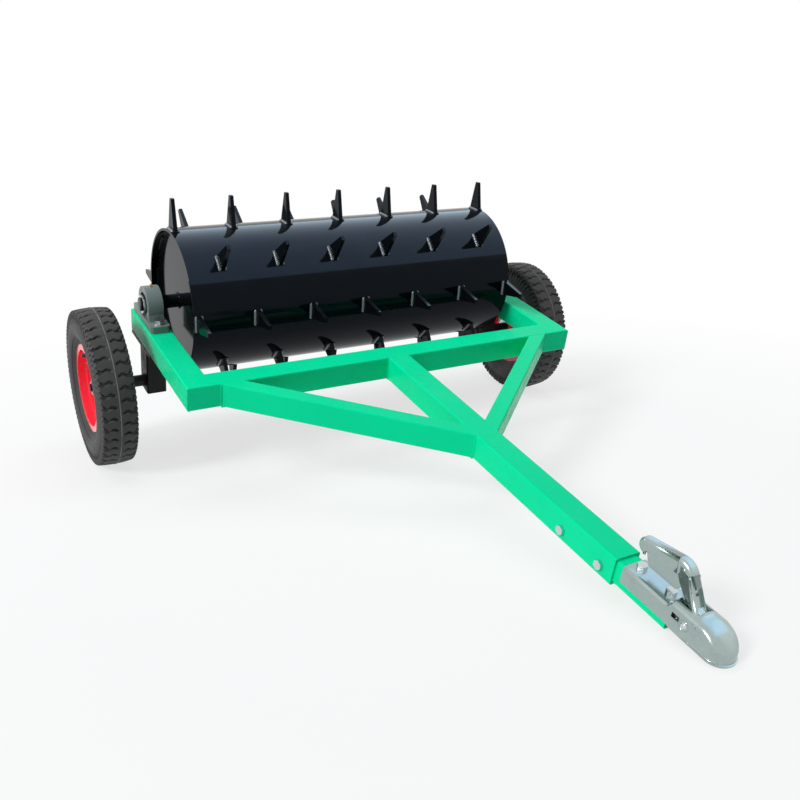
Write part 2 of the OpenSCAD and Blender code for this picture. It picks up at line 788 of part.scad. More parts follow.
module bearing_outer_rings() {
    color("silver") parked() for (s = [-1, 1]) sided(s) translate([block_x, drum_y, drum_z]) difference() {
        intersection() {
            sphere(insert_r);
            rod_x(insert_r + 1, insert_w);
        }
        rod_x(outer_race_r, insert_w - 2 * seal_t);
        rod_x(inner_ring_r + seal_gap, insert_w + 2);
        ball_groove(race_r, insert_ball_r + groove_gap);
    }
}

module bearing_inner_rings() {
    color("silver") parked() for (s = [-1, 1]) sided(s) translate([block_x, drum_y, drum_z]) difference() {
        revolve_x() translate([shaft_r + run, -inner_ring_in])
            square([inner_ring_r - shaft_r - run, inner_ring_in + inner_ring_out]);
        ball_groove(race_r, insert_ball_r + groove_gap);
        set_screw_places() cylinder(r = set_screw_r + run, h = 2 * race_r);
    }
}

module set_screw_places() {
    for (a = [30, 150]) rotate([a, 0, 0]) translate([set_screw_x, 0, 0]) children();
}

module set_screws() {
    color("dimgray") parked() for (s = [-1, 1]) sided(s) translate([block_x, drum_y, drum_z]) set_screw_places()
        translate([0, 0, shaft_r + 0.5]) difference() {
            cylinder(r = set_screw_r, h = inner_ring_r - shaft_r);
            translate([0, 0, 3]) hex_head(set_screw_r, 10);
        }
}

module bearing_balls() {
    color("silver") parked() for (s = [-1, 1]) sided(s) translate([block_x, drum_y, drum_z])
        for (i = [0 : ball_count - 1]) rotate([360 * i / ball_count, 0, 0]) translate([0, 0, race_r]) sphere(insert_ball_r);
}

module grease_nipples() {
    color("gold") parked() for (s = [-1, 1]) sided(s) translate([block_x, drum_y, drum_z + block_r - 5]) {
        cylinder(r = 3, h = 5);
        translate([0, 0, 5]) hex_head(7, 3);
        translate([0, 0, 8]) cylinder(r1 = 2.5, r2 = 1.8, h = 4);
    }
}

module block_bolt_places() {
    for (s = [-1, 1]) sided(s) for (k = [-1, 1]) translate([block_x, drum_y + k * block_span / 2, 0]) children();
}

module block_bolts() {
    top = block_foot + block_washer_t;
    color("gainsboro") parked() block_bolt_places() translate([0, 0, top]) rotate(30)
        hex_bolt(block_bolt_d, top + tube + leg_plate_t, 0.8 * block_bolt_d + 3, block_head_af, 0.63 * block_bolt_d);
}

module block_washers() {
    color("gainsboro") parked() block_bolt_places() translate([0, 0, block_foot]) difference() {
        cylinder(r = block_bolt_d - 1, h = block_washer_t);
        translate([0, 0, -1]) cylinder(r = block_hole_r, h = 10);
    }
}

module block_nuts() {
    nut_h = 0.8 * block_bolt_d;
    color("gainsboro") parked() block_bolt_places() translate([0, 0, leg_top - nut_h])
        hex_nut(block_bolt_d, block_head_af, nut_h);
}

// Drum

module at_drum() {
    translate([0, drum_y, drum_z]) children();
}

module drum_shell() {
    color("#1c2026") parked() at_drum() difference() {
        rod_x(drum_r, drum_len);
        rod_x(drum_r - shell_wall, drum_len + 2);
    }
}

module end_plate(s) {
    color("#2a2f36") parked() sided(s) at_drum() translate([drum_len / 2 - end_recess - end_plate_t / 2, 0, 0])
        difference() {
            rod_x(drum_r - shell_wall - weld_gap, end_plate_t);
            rod_x(shaft_r + weld_gap, 2 * end_plate_t);
        }
}

module drum_shaft() {
    color("#15171b") parked() at_drum() rod_x(shaft_r, 2 * (block_x + inner_ring_out + shaft_end));
}

// A spike stands out along +Y: a tapered plate on a round seat, with a weld on each side
module spike() {
    seat = drum_r + weld_gap;
    difference() {
        intersection() {
            yz(spike_t + 2 * spike_weld) polygon([[seat - spike_weld, -spike_base / 2], [seat - spike_weld, spike_base / 2],
                [drum_r, spike_base / 2], [tip_r, spike_tip / 2], [tip_r, -spike_tip / 2], [drum_r, -spike_base / 2]]);
            translate([0, 0, -spike_base]) linear_extrude(2 * spike_base) polygon([
                [-spike_t / 2 - spike_weld, 0], [-spike_t / 2 - spike_weld, seat],
                [-spike_t / 2, seat + spike_weld], [-spike_t / 2 + spike_taper, tip_r + spike_taper],
                [spike_t / 2 - spike_taper, tip_r + spike_taper], [spike_t / 2, seat + spike_weld],
                [spike_t / 2 + spike_weld, seat], [spike_t / 2 + spike_weld, 0]]);
        }
        rod_x(seat, 4 * spike_t);
    }
}

module spike_row(k) {
    count = k % 2 == 0 ? spikes_long : spikes_long - 1;
    color("#1c2026") parked() at_drum() rotate([first_row + k * row_step, 0, 0])
        for (i = [0 : count - 1]) translate([(i - (count - 1) / 2) * spike_pitch, 0, 0]) spike();
}

// Legs and axles

module leg(s) {
    color("#202020") parked() sided(s) difference() {
        translate([leg_x, axle_y, leg_bottom]) linear_extrude(leg_top - leg_bottom) tube_section(leg_w, leg_d, leg_wall, leg_wall);
        translate([leg_x, axle_y, axle_z]) rod_x(axle_d / 2 + weld_gap, 2 * leg_w);
    }
}

module leg_plates() {
    color("#202020") parked() for (s = [-1, 1]) sided(s) difference() {
        translate([frame_w / 2 - tube, leg_plate_front, leg_top]) cube([tube, rail_len - leg_plate_front, leg_plate_t]);
        block_bolt_holes(block_hole_r);
    }
}

module axle(s) {
    inner = frame_w / 2 - leg_w - 2;
    color("#202020") parked() sided(s) translate([0, axle_y, axle_z]) difference() {
        revolve_x() {
            translate([0, inner]) square([axle_d / 2, bearing_in_x - inner]);
            translate([0, inner]) square([journal_d / 2, bearing_out_x + axle_washer_t - 1 - inner]);
            translate([0, inner]) square([axle_thread_d / 2, axle_end_x - inner]);
        }
        translate([axle_end_x - 7, 0, 0]) cylinder(r = pin_r + run, h = 2 * axle_d, center = true);
    }
}

module axle_washers() {
    color("gainsboro") parked() for (s = [-1, 1]) sided(s) translate([bearing_out_x, axle_y, axle_z])
        revolve_x() translate([journal_d / 2 + run, 0]) square([7, axle_washer_t]);
}

module axle_nuts() {
    color("gainsboro") parked() for (s = [-1, 1]) sided(s)
        translate([bearing_out_x + axle_washer_t, axle_y, axle_z]) rotate([0, 90, 0]) difference() {
            hex_nut(axle_thread_d, axle_nut_af, axle_nut_h);
            for (a = [30, 90, 150]) rotate(a) translate([-pin_r - 0.3, -axle_nut_af, axle_nut_h - 5])
                cube([2 * pin_r + 0.6, 2 * axle_nut_af, 10]);
        }
}

module split_pins() {
    color("silver") parked() for (s = [-1, 1]) sided(s) translate([axle_end_x - 7, axle_y, axle_z]) {
        cylinder(r = pin_r, h = axle_nut_af + 10, center = true);
        translate([0, 0, axle_nut_af / 2 + 7]) rod_x(2.2 * pin_r, 2 * pin_r);
    }
}

module wheel_bearing_places() {
    for (x = [bearing_in_x + bearing_w / 2, bearing_out_x - bearing_w / 2]) translate([x, axle_y, axle_z]) children();
}

module wheel_inner_rings() {
    ring_t = wheel_race_r - 2.9 - journal_d / 2 - run;
    spacer = bearing_out_x - bearing_in_x - 2 * bearing_w;
    color("silver") parked() for (s = [-1, 1]) sided(s) {
        wheel_bearing_places() difference() {
            revolve_x() translate([journal_d / 2 + run, -bearing_w / 2]) square([ring_t, bearing_w]);
            ball_groove(wheel_race_r, wheel_ball_r + groove_gap);
        }
        translate([(bearing_in_x + bearing_out_x) / 2, axle_y, axle_z]) revolve_x()
            translate([journal_d / 2 + run, -spacer / 2]) square([3, spacer]);
    }
}

module wheel_bearings(s) {
    outer = wheel_race_r + 2.9;
    color("silver") parked() sided(s) wheel_bearing_places() {
        difference() {
            revolve_x() difference() {
                translate([outer - 4.5, -bearing_w / 2]) square([bearing_r - run - outer + 4.5, bearing_w]);
                translate([0, -bearing_w / 2 + seal_t]) square([outer, bearing_w - 2 * seal_t]);
            }
            ball_groove(wheel_race_r, wheel_ball_r + groove_gap);
        }
        for (i = [0 : ball_count - 1]) rotate([360 * i / ball_count, 0, 0])
            translate([0, 0, wheel_race_r]) sphere(wheel_ball_r);
    }
}

// Wheels, drawn about their own middle with +X outboard

module at_wheel(s) {
    parked() sided(s) translate([wheel_x, axle_y, axle_z]) children();
}

module tyre_outline() {
    intersection() {
        translate([crown_r - crown_arc, 0]) circle(crown_arc, $fn = 256);
        translate([wall_r, -tread_half]) square([2 * wall_arc, 2 * tread_half]);
    }
    for (k = [-1, 1]) translate([wall_r, k * wall_u]) circle(wall_arc);
    translate([bead_r, -bead_half]) square([wall_r - bead_r, 2 * bead_half]);
    translate([crown_r - 3, -1]) square([3 + mould_rib_h, 2]);
}

module tyre_hollow() {
    for (k = [-1, 1]) translate([wall_r, k * wall_u]) circle(wall_arc - casing);
    translate([wall_r, -wall_u]) square([wall_arc - casing, 2 * wall_u]);
    translate([bead_r - 1, casing - bead_half]) square([wall_r - bead_r, 2 * (bead_half - casing)]);
}

// One groove: it slants out from the middle band and forks before the shoulder
module tread_groove() {
    reach = tyre_w / 2 - tread_middle + 6;
    fork = 0.6 * (tread_half - tread_middle);
    translate([tread_middle, 0, crown_r - tread_depth]) rotate([0, tread_fall, 0]) {
        rotate(tread_slant) translate([0, -tread_groove_w / 2, 0]) cube([reach, tread_groove_w, 3 * tread_depth]);
        translate([fork, 0, 0]) rotate(-2 * tread_slant) translate([0, -tread_groove_w / 2, 0])
            cube([reach - fork, tread_groove_w, 3 * tread_depth]);
    }
}

module tyre(s) {
    step = 360 / tread_count;
    color("#1b1c1e") at_wheel(s) difference() {
        revolve_x() difference() {
            tyre_outline();
            tyre_hollow();
        }
        for (i = [0 : tread_count - 1]) rotate([i * step, 0, 0]) {
            tread_groove();
            rotate([step / 2, 0, 0]) mirror([1, 0, 0]) tread_groove();
        }
    }
}

module inner_tube(s) {
    stem_u = well_half - rim_t - 5;
    color("#26262a") at_wheel(s) difference() {
        union() {
            revolve_x() translate([wall_r, 0]) circle(tube_pipe_r);
            translate([stem_u, 0, stem_at]) cylinder(r = stem_r, h = wall_r - stem_at - tube_pipe_r + 8);
            translate([stem_u, 0, stem_at]) rotate([0, 90, 0]) cylinder(r = stem_r, h = 30);
        }
        revolve_x() translate([wall_r, 0]) circle(tube_pipe_r - 3);
    }
}

// One pressed half of the split rim
module rim_half_outline() {
    translate([hub_r + run, 0]) square([well_r - hub_r - run, rim_t]);
    translate([well_r - rim_t, 0]) square([rim_t, well_half]);
    translate([well_r - rim_t, well_half - rim_t]) square([rim_seat_r - well_r + rim_t, rim_t]);
    translate([rim_seat_r - rim_t, well_half - rim_t]) square([rim_t, rim_half_w - well_half + 2 * rim_t]);
    translate([rim_seat_r - rim_t, rim_half_w]) square([rim_flange + rim_t - rim_t / 2, rim_t]);
    translate([rim_seat_r + rim_flange - rim_t / 2, rim_half_w + rim_t / 2]) circle(rim_t / 2);
}

module wheel_bolt_places() {
    for (i = [0 : wheel_bolt_count - 1]) rotate([360 * (i + 0.5) / wheel_bolt_count, 0, 0])
        translate([0, 0, wheel_bolt_pcr]) children();
}

module rim(s) {
    color("#c3122a") at_wheel(s) difference() {
        revolve_x() {
            rim_half_outline();
            mirror([0, 1]) rim_half_outline();
        }
        wheel_bolt_places() rod_x(wheel_bolt_r + bolt_slack, 40);
        translate([well_half, 0, stem_at]) rod_x(stem_r + 0.3, 20);
    }
}

module hub(s) {
    seat_depth = bearing_w + 1;
    color("#c3122a") at_wheel(s) difference() {
        revolve_x() difference() {
            union() {
                translate([0, hub_out - hub_len]) square([hub_r, hub_len]);
                translate([0, -rim_t - hub_flange_t]) square([hub_flange_r, hub_flange_t]);
            }
            translate([0, hub_out - 2 * hub_len]) square([bearing_r - 4, 3 * hub_len]);
            for (end = [hub_out - seat_depth, hub_out - hub_len]) translate([0, end]) square([bearing_r, seat_depth]);
        }
        wheel_bolt_places() rod_x(wheel_bolt_r + bolt_slack, 40);
    }
}

module wheel_bolts(s) {
    af = 3.25 * wheel_bolt_r;
    color("gainsboro") at_wheel(s) wheel_bolt_places() {
        translate([rim_t, 0, 0]) rotate([0, 90, 0])
            hex_bolt(2 * wheel_bolt_r, 2 * rim_t + hub_flange_t, 1.6 * wheel_bolt_r + 2, af, 1.3 * wheel_bolt_r);
        translate([-rim_t - hub_flange_t, 0, 0]) rotate([0, -90, 0]) hex_nut(2 * wheel_bolt_r, af, 1.6 * wheel_bolt_r);
    }
}

rail(-1);  // left_rail
rail(1);  // right_rail
front_crossmember();
drawbar();
brace(-1);  // left_brace
brace(1);  // right_brace
drawbar_tongue();
drawbar_bolts();
drawbar_nuts();
coupler_body();
coupler_bolts();
coupler_nuts();
handle_pin();
side_rivets();
jaw_spring();
pillow_block(-1);  // left_pillow_block
pillow_block(1);  // right_pillow_block
bearing_outer_rings();
grease_nipples();
block_bolts();
block_washers();
block_nuts();
leg(-1);  // left_leg
leg(1);  // right_leg
leg_plates();
axle(-1);  // left_axle
axle(1);  // right_axle
axle_washers();
axle_nuts();
split_pins();
wheel_inner_rings();
drum_shell();
end_plate(-1);  // left_end_plate
end_plate(1);  // right_end_plate
drum_shaft();
spike_row(0);  // spike_row_1
spike_row(1);  // spike_row_2
spike_row(2);  // spike_row_3
spike_row(3);  // spike_row_4
spike_row(4);  // spike_row_5
spike_row(5);  // spike_row_6
spike_row(6);  // spike_row_7
spike_row(7);  // spike_row_8
bearing_inner_rings();
bearing_balls();
set_screws();
tyre(-1);  // left_tyre
tyre(1);  // right_tyre
inner_tube(-1);  // left_inner_tube
inner_tube(1);  // right_inner_tube
rim(-1);  // left_rim
rim(1);  // right_rim
hub(-1);  // left_hub
hub(1);  // right_hub
wheel_bolts(-1);  // left_wheel_bolts
wheel_bolts(1);  // right_wheel_bolts
wheel_bearings(-1);  // left_wheel_bearings
wheel_bearings(1);  // right_wheel_bearings
coupler_handle();
coupler_jaw();
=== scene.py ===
"""Looks of the tow behind aerator: finishes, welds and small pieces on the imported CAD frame."""
import json
import logging
import math
from dataclasses import dataclass, field, replace
from enum import Enum
from typing import Any, Dict, List, Optional, Sequence, Tuple

import bmesh
import bpy
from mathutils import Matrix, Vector

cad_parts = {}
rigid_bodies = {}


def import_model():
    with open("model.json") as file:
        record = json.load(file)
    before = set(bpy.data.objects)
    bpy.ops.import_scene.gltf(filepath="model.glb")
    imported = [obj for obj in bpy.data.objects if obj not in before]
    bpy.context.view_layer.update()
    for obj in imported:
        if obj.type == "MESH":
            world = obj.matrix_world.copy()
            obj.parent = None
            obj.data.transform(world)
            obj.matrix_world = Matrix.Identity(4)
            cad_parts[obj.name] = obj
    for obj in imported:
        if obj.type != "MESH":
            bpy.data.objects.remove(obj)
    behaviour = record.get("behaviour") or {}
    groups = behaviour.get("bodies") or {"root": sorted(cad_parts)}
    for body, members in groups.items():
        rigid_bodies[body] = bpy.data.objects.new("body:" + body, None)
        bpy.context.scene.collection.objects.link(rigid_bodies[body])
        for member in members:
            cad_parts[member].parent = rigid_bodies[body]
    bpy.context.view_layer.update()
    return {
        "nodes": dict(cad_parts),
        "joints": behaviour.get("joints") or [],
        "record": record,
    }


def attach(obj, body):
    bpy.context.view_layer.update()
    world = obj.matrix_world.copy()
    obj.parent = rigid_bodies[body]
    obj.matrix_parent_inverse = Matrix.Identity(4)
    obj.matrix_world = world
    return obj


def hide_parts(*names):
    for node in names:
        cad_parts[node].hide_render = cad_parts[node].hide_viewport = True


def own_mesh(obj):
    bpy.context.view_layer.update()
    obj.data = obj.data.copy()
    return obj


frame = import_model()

LOG = logging.getLogger("aerator")
MM = 0.001
JOIN = 0.01 * MM
AXLE = Vector((1, 0, 0))
Colour = Tuple[float, float, float, float]
Point = Tuple[float, float, float]
Flat = Tuple[float, float]
Thing = bpy.types.Object
Material = bpy.types.Material
Socket = bpy.types.NodeSocket


def srgb(red: int, green: int, blue: int) -> Colour:
    """Turns display values from 0 to 255 into the linear colour that shaders take.

    Args:
        red: display red.
        green: display green.
        blue: display blue.

    Returns:
        The linear colour with full alpha.
    """
    def linear(value: float) -> float:
        """Undoes the display curve of one channel."""
        return value / 12.92 if value <= 0.04045 else ((value + 0.055) / 1.055) ** 2.4
    return (linear(red / 255), linear(green / 255), linear(blue / 255), 1.0)


def limit(value: float) -> float:
    """Limits a value to between 0 and 1."""
    return min(1.0, max(0.0, value))


def ease(value: float) -> float:
    """Limits a value to between 0 and 1, with a soft start and end."""
    part = limit(value)
    return part * part * (3.0 - 2.0 * part)


def curve(u: float, first: Any, middle: Any, last: Any) -> Any:
    """Returns the point at share u of a soft curve from first to last that leans to middle."""
    return (1 - u) ** 2 * first + 2 * u * (1 - u) * middle + u * u * last


class Side(Enum):
    """The two sides of the machine as the sign of X."""

    LEFT = -1
    RIGHT = 1


class Slot(Enum):
    """The record's material slots."""

    FRAME = "frame_green"
    FASTENER = "zinc_fastener"
    COUPLER = "zinc_coupler"
    DARK_STEEL = "dark_steel"
    BLOCK = "block_casting"
    BEARING = "bearing_steel"
    NIPPLE = "nipple_brass"
    LEG = "leg_black"
    DRUM = "drum_black"
    TYRE = "tyre_rubber"
    TUBE = "tube_rubber"
    RIM = "rim_red"


class Graph:
    """Adds and links nodes in one shader tree."""

    def __init__(self, tree: bpy.types.NodeTree) -> None:
        """Keeps the tree that the nodes go in."""
        self.tree = tree

    def add(self, kind: str, inputs: Optional[Dict[Any, Any]] = None, **settings: Any) -> bpy.types.Node:
        """Adds a node.

        Args:
            kind: the node's Blender type.
            inputs: values, or output sockets to link, by input name or index.
            settings: attributes to set on the node.

        Returns:
            The new node.
        """
        node = self.tree.nodes.new(kind)
        for name, value in settings.items():
            setattr(node, name, value)
        for name, value in (inputs or {}).items():
            if isinstance(value, Socket):
                self.tree.links.new(value, node.inputs[name])
            else:
                node.inputs[name].default_value = value
        return node

    def math(self, operation: str, *values: Any) -> Socket:
        """Adds a Math node on numbers or sockets and returns its output."""
        return self.add("ShaderNodeMath", dict(enumerate(values)), operation=operation).outputs[0]

    def times(self, first: Any, second: Any) -> Socket:
        """Multiplies two values."""
        return self.math("MULTIPLY", first, second)

    def plus(self, first: Any, second: Any) -> Socket:
        """Adds two values."""
        return self.math("ADD", first, second)

    def ramp(self, value: Socket, low: float, high: float, to_low: float = 0.0,
             to_high: float = 1.0) -> Socket:
        """Maps a value from one range to another, clamped, and returns the result."""
        inputs = {0: value, 1: low, 2: high, 3: to_low, 4: to_high}
        return self.add("ShaderNodeMapRange", inputs).outputs[0]

    def mix(self, factor: Any, first: Any, second: Any, blend: str = "MIX") -> Socket:
        """Mixes two colours by a factor and returns the colour."""
        inputs = {0: factor, 6: first, 7: second}
        return self.add("ShaderNodeMix", inputs, data_type="RGBA", blend_type=blend).outputs[2]

    def grey(self, value: Socket) -> Socket:
        """Returns the grey that has one value in all its channels."""
        return self.add("ShaderNodeCombineColor", {0: value, 1: value, 2: value}).outputs[0]

    def place(self) -> Socket:
        """Returns the object coordinates."""
        return self.add("ShaderNodeTexCoord").outputs["Object"]

    def normal(self) -> Socket:
        """Returns the face's direction."""
        return self.add("ShaderNodeNewGeometry").outputs["Normal"]

    def vector(self, operation: str, output: str, *values: Any) -> Socket:
        """Adds a Vector Math node and returns the named output."""
        node = self.add("ShaderNodeVectorMath", dict(enumerate(values)), operation=operation)
        return node.outputs[output]

    def noise(self, scale: float, detail: float) -> Socket:
        """Adds a noise over object coordinates and returns its value."""
        inputs = {"Vector": self.place(), "Scale": scale, "Detail": detail}
        return self.add("ShaderNodeTexNoise", inputs).outputs[0]

    def out(self, name: str, value: Socket) -> None:
        """Links a value to the group's output of that name.

        Args:
            name: the output's name.
            value: the socket to link.
        """
        end = next((n for n in self.tree.nodes if n.bl_idname == "NodeGroupOutput"), None)
        if end is None:
            end = self.tree.nodes.new("NodeGroupOutput")
        self.tree.links.new(value, end.inputs[name])


FLOAT = "NodeSocketFloat"
COLOUR = "NodeSocketColor"
VECTOR = "NodeSocketVector"
MID_GREY = (0.5, 0.5, 0.5, 1.0)
SKIN = (("Colour", COLOUR), ("Roughness", FLOAT), ("Height", FLOAT))


class Effect:
    """A shared shader node group, built once and placed in each material that uses it.

    A noise is kept as its scale and detail, and a range as the limits that a ramp takes.
    """

    title = "effect"
    takes: Sequence[Tuple[str, str, Any]] = ()
    gives: Sequence[Tuple[str, str]] = ()
    _built: Dict[str, bpy.types.NodeTree] = {}

    def tree(self) -> bpy.types.NodeTree:
        """Builds the group the first time that it is asked for.

        Returns:
            The group.
        """
        if self.title not in Effect._built:
            group = bpy.data.node_groups.new(self.title, "ShaderNodeTree")
            for name, kind, value in self.takes:
                socket = group.interface.new_socket(name=name, in_out="INPUT", socket_type=kind)
                socket.default_value = value
            for name, kind in self.gives:
                group.interface.new_socket(name=name, in_out="OUTPUT", socket_type=kind)
            graph = Graph(group)
            self.wire(graph, graph.add("NodeGroupInput").outputs)
            Effect._built[self.title] = group
        return Effect._built[self.title]

    def wire(self, graph: Graph, given: Any) -> None:
        """Adds the group's nodes, from the sockets that it is given."""
        raise NotImplementedError

    def place(self, graph: Graph, **values: Any) -> Any:
        """Places the group in a material, with inputs by name, and returns its output sockets."""
        return graph.add("ShaderNodeGroup", values, node_tree=self.tree()).outputs


class PaintSkin(Effect):
    """Sprayed paint: slow changes of tone, a fine orange peel and patches of lower gloss."""

    title = "paint skin"
    takes = (("Colour", COLOUR, MID_GREY), ("Tone", FLOAT, 0.08), ("Gloss", FLOAT, 0.25))
    gives = SKIN
    cloud = (5.0, 4.0)
    patch = (22.0, 2.0)
    patch_range = (0.35, 0.75, 0.8, 1.35)
    peel = (260.0, 1.0)

    def wire(self, graph: Graph, given: Any) -> None:
        """Wires the tone, the gloss and the peel.

        Args:
            graph: the group's tree.
            given: the group's input values as sockets.
        """
        cloud = graph.math("SUBTRACT", graph.noise(*self.cloud), 0.5)
        lift = graph.plus(1.0, graph.times(graph.times(cloud, given["Tone"]), 2.0))
        graph.out("Colour", graph.mix(1.0, given["Colour"], graph.grey(lift), "MULTIPLY"))
        patch = graph.ramp(graph.noise(*self.patch), *self.patch_range)
        graph.out("Roughness", graph.times(patch, given["Gloss"]))
        graph.out("Height", graph.noise(*self.peel))


class DustFilm(Effect):
    """Pale dust that settles on faces turned upwards and thins out in patches."""

    title = "dust film"
    takes = (("Colour", COLOUR, MID_GREY), ("Dust", COLOUR, srgb(170, 164, 150)),
             ("Amount", FLOAT, 0.1), ("Roughness", FLOAT, 0.3))
    gives = (("Colour", COLOUR), ("Roughness", FLOAT))
    patch = (14.0, 6.0)
    patch_range = (0.38, 0.72)
    level_range = (-0.2, 1.0, 0.15, 1.0)
    dulling = 0.5

    def wire(self, graph: Graph, given: Any) -> None:
        """Wires the mask from the face's direction and a broken noise.

        Args:
            graph: the group's tree.
            given: the group's input values as sockets.
        """
        up = graph.add("ShaderNodeSeparateXYZ", {0: graph.normal()}).outputs[2]
        level = graph.ramp(up, *self.level_range)
        broken = graph.ramp(graph.noise(*self.patch), *self.patch_range)
        mask = graph.times(graph.times(level, broken), given["Amount"])
        graph.out("Colour", graph.mix(mask, given["Colour"], given["Dust"]))
        graph.out("Roughness", graph.plus(given["Roughness"], graph.times(mask, self.dulling)))


class EdgeWearAndHighlight(Effect):
    """Rubbed edges, where paint has gone thin, and a painted highlight that runs along every edge."""

    title = "edge wear"
    takes = (("Width", FLOAT, 0.0015), ("Amount", FLOAT, 0.5))
    gives = (("Mask", FLOAT),)
    patch = (60.0, 4.0)
    patch_range = (0.35, 0.65)
    edge_range = (0.97, 0.8)
    samples = 4

    def wire(self, graph: Graph, given: Any) -> None:
        """Wires a bevel's turn of the normal, broken up by noise.

        Args:
            graph: the group's tree.
            given: the group's input values as sockets.
        """
        bevel = graph.add("ShaderNodeBevel", {"Radius": given["Width"]}, samples=self.samples).outputs[0]
        edge = graph.ramp(graph.vector("DOT_PRODUCT", "Value", bevel, graph.normal()), *self.edge_range)
        broken = graph.ramp(graph.noise(*self.patch), *self.patch_range)
        graph.out("Mask", graph.times(graph.times(edge, broken), given["Amount"]))


class ZincSkin(Effect):
    """Plated zinc: small crystal fields of different tone, clouding and a fine grain."""

    title = "zinc skin"
    takes = (("Colour", COLOUR, (0.7, 0.7, 0.7, 1.0)), ("Field", FLOAT, 120.0), ("Gloss", FLOAT, 0.3))
    gives = SKIN
    cloud = (30.0, 5.0)
    field_tone = (0.0, 1.0, 0.97, 1.02)
    cloud_tone = (0.3, 0.7, -0.04, 0.03)
    field_dull = (0.0, 1.0, 0.95, 1.05)
    cloud_dull = (0.3, 0.75, -0.1, 0.2)
    grain = (400.0, 2.0)

    def wire(self, graph: Graph, given: Any) -> None:
        """Wires the crystal fields, the clouding and the grain.

        Args:
            graph: the group's tree.
            given: the group's input values as sockets.
        """
        cells = graph.add("ShaderNodeTexVoronoi", {"Vector": graph.place(), "Scale": given["Field"]})
        shade = graph.add("ShaderNodeSeparateColor", {0: cells.outputs["Color"]}).outputs[0]
        cloud = graph.noise(*self.cloud)
        tone = graph.plus(graph.ramp(shade, *self.field_tone), graph.ramp(cloud, *self.cloud_tone))
        graph.out("Colour", graph.mix(1.0, given["Colour"], graph.grey(tone), "MULTIPLY"))
        dull = graph.plus(graph.ramp(shade, *self.field_dull), graph.ramp(cloud, *self.cloud_dull))
        graph.out("Roughness", graph.times(dull, given["Gloss"]))
        graph.out("Height", graph.noise(*self.grain))


class RubberSkin(Effect):
    """Moulded rubber: a pale bloom in patches and a fine grain."""

    title = "rubber skin"
    takes = (("Colour", COLOUR, (0.03, 0.03, 0.03, 1.0)), ("Bloom", FLOAT, 0.3))
    gives = SKIN
    bloom = srgb(104, 102, 98)
    cloud = (18.0, 6.0)
    cloud_range = (0.35, 0.75)
    rough_range = (0.0, 1.0, 0.52, 0.72)
    grain = (700.0, 2.0)

    def wire(self, graph: Graph, given: Any) -> None:
        """Wires the bloom, its roughness and the grain.

        Args:
            graph: the group's tree.
            given: the group's input values as sockets.
        """
        cloud = graph.ramp(graph.noise(*self.cloud), *self.cloud_range)
        film = graph.times(cloud, given["Bloom"])
        graph.out("Colour", graph.mix(film, given["Colour"], self.bloom))
        graph.out("Roughness", graph.ramp(cloud, *self.rough_range))
        graph.out("Height", graph.noise(*self.grain))


class TyreMarks(Effect):
    """Raised chevrons in a band round a wheel's own axle, and the rubbed mould line on its crown."""

    title = "tyre marks"
    takes = (("Centre", VECTOR, (0, 0, 0)), ("Count", FLOAT, 80.0), ("Inner", FLOAT, 0.16),
             ("Outer", FLOAT, 0.19), ("Slant", FLOAT, 3.0), ("Line", FLOAT, 0.0013))
    gives = (("Height", FLOAT), ("Rubbed", FLOAT))
    patch = (30.0, 3.0)
    patch_range = (0.3, 0.6, 0.25, 0.8)
    wave_range = (-0.2, 0.5)

    def wire(self, graph: Graph, given: Any) -> None:
        """Wires the angle and the distance from the axle into chevrons, and the mould line.

        Args:
            graph: the group's tree.
            given: the group's input values as sockets.
        """
        local = graph.vector("SUBTRACT", "Vector", graph.place(), given["Centre"])
        across, back, up = graph.add("ShaderNodeSeparateXYZ", {0: local}).outputs
        reach = graph.math("SQRT", graph.plus(graph.times(back, back), graph.times(up, up)))
        middle = graph.times(graph.plus(given["Inner"], given["Outer"]), 0.5)
        fold = graph.times(graph.math("ABSOLUTE", graph.math("SUBTRACT", reach, middle)), given["Slant"])
        turn = graph.plus(graph.math("ARCTAN2", back, up), fold)
        wave = graph.ramp(graph.math("SINE", graph.times(turn, given["Count"])), *self.wave_range)
        past = graph.math("GREATER_THAN", reach, given["Inner"])
        short = graph.math("LESS_THAN", reach, given["Outer"])
        graph.out("Height", graph.times(wave, graph.times(past, short)))
        thin = graph.math("LESS_THAN", graph.math("ABSOLUTE", across), given["Line"])
        outside = graph.math("GREATER_THAN", reach, given["Outer"])
        broken = graph.ramp(graph.noise(*self.patch), *self.patch_range)
        graph.out("Rubbed", graph.times(broken, graph.times(thin, outside)))


def new_material(name: str) -> Tuple[Material, Graph, bpy.types.Node]:
    """Starts a node material.

    Args:
        name: the material's name.

    Returns:
        The material, its graph and its Principled shader.
    """
    material = bpy.data.materials.new(name)
    material.use_nodes = True
    return material, Graph(material.node_tree), material.node_tree.nodes["Principled BSDF"]


def connect(graph: Graph, shader: bpy.types.Node, colour: Socket, rough: Socket, height: Socket,
            bump: float, depth: float) -> None:
    """Links a finish to its shader.

    Args:
        graph: the material's tree.
        shader: the Principled shader.
        colour: socket for Base Color.
        rough: socket for Roughness.
        height: socket for the bump's Height.
        bump: strength of the bump.
        depth: depth of the bump in metres.
    """
    relief = graph.add("ShaderNodeBump", {"Strength": bump, "Distance": depth, "Height": height})
    for name, socket in (("Base Color", colour), ("Roughness", rough), ("Normal", relief.outputs[0])):
        graph.tree.links.new(socket, shader.inputs[name])


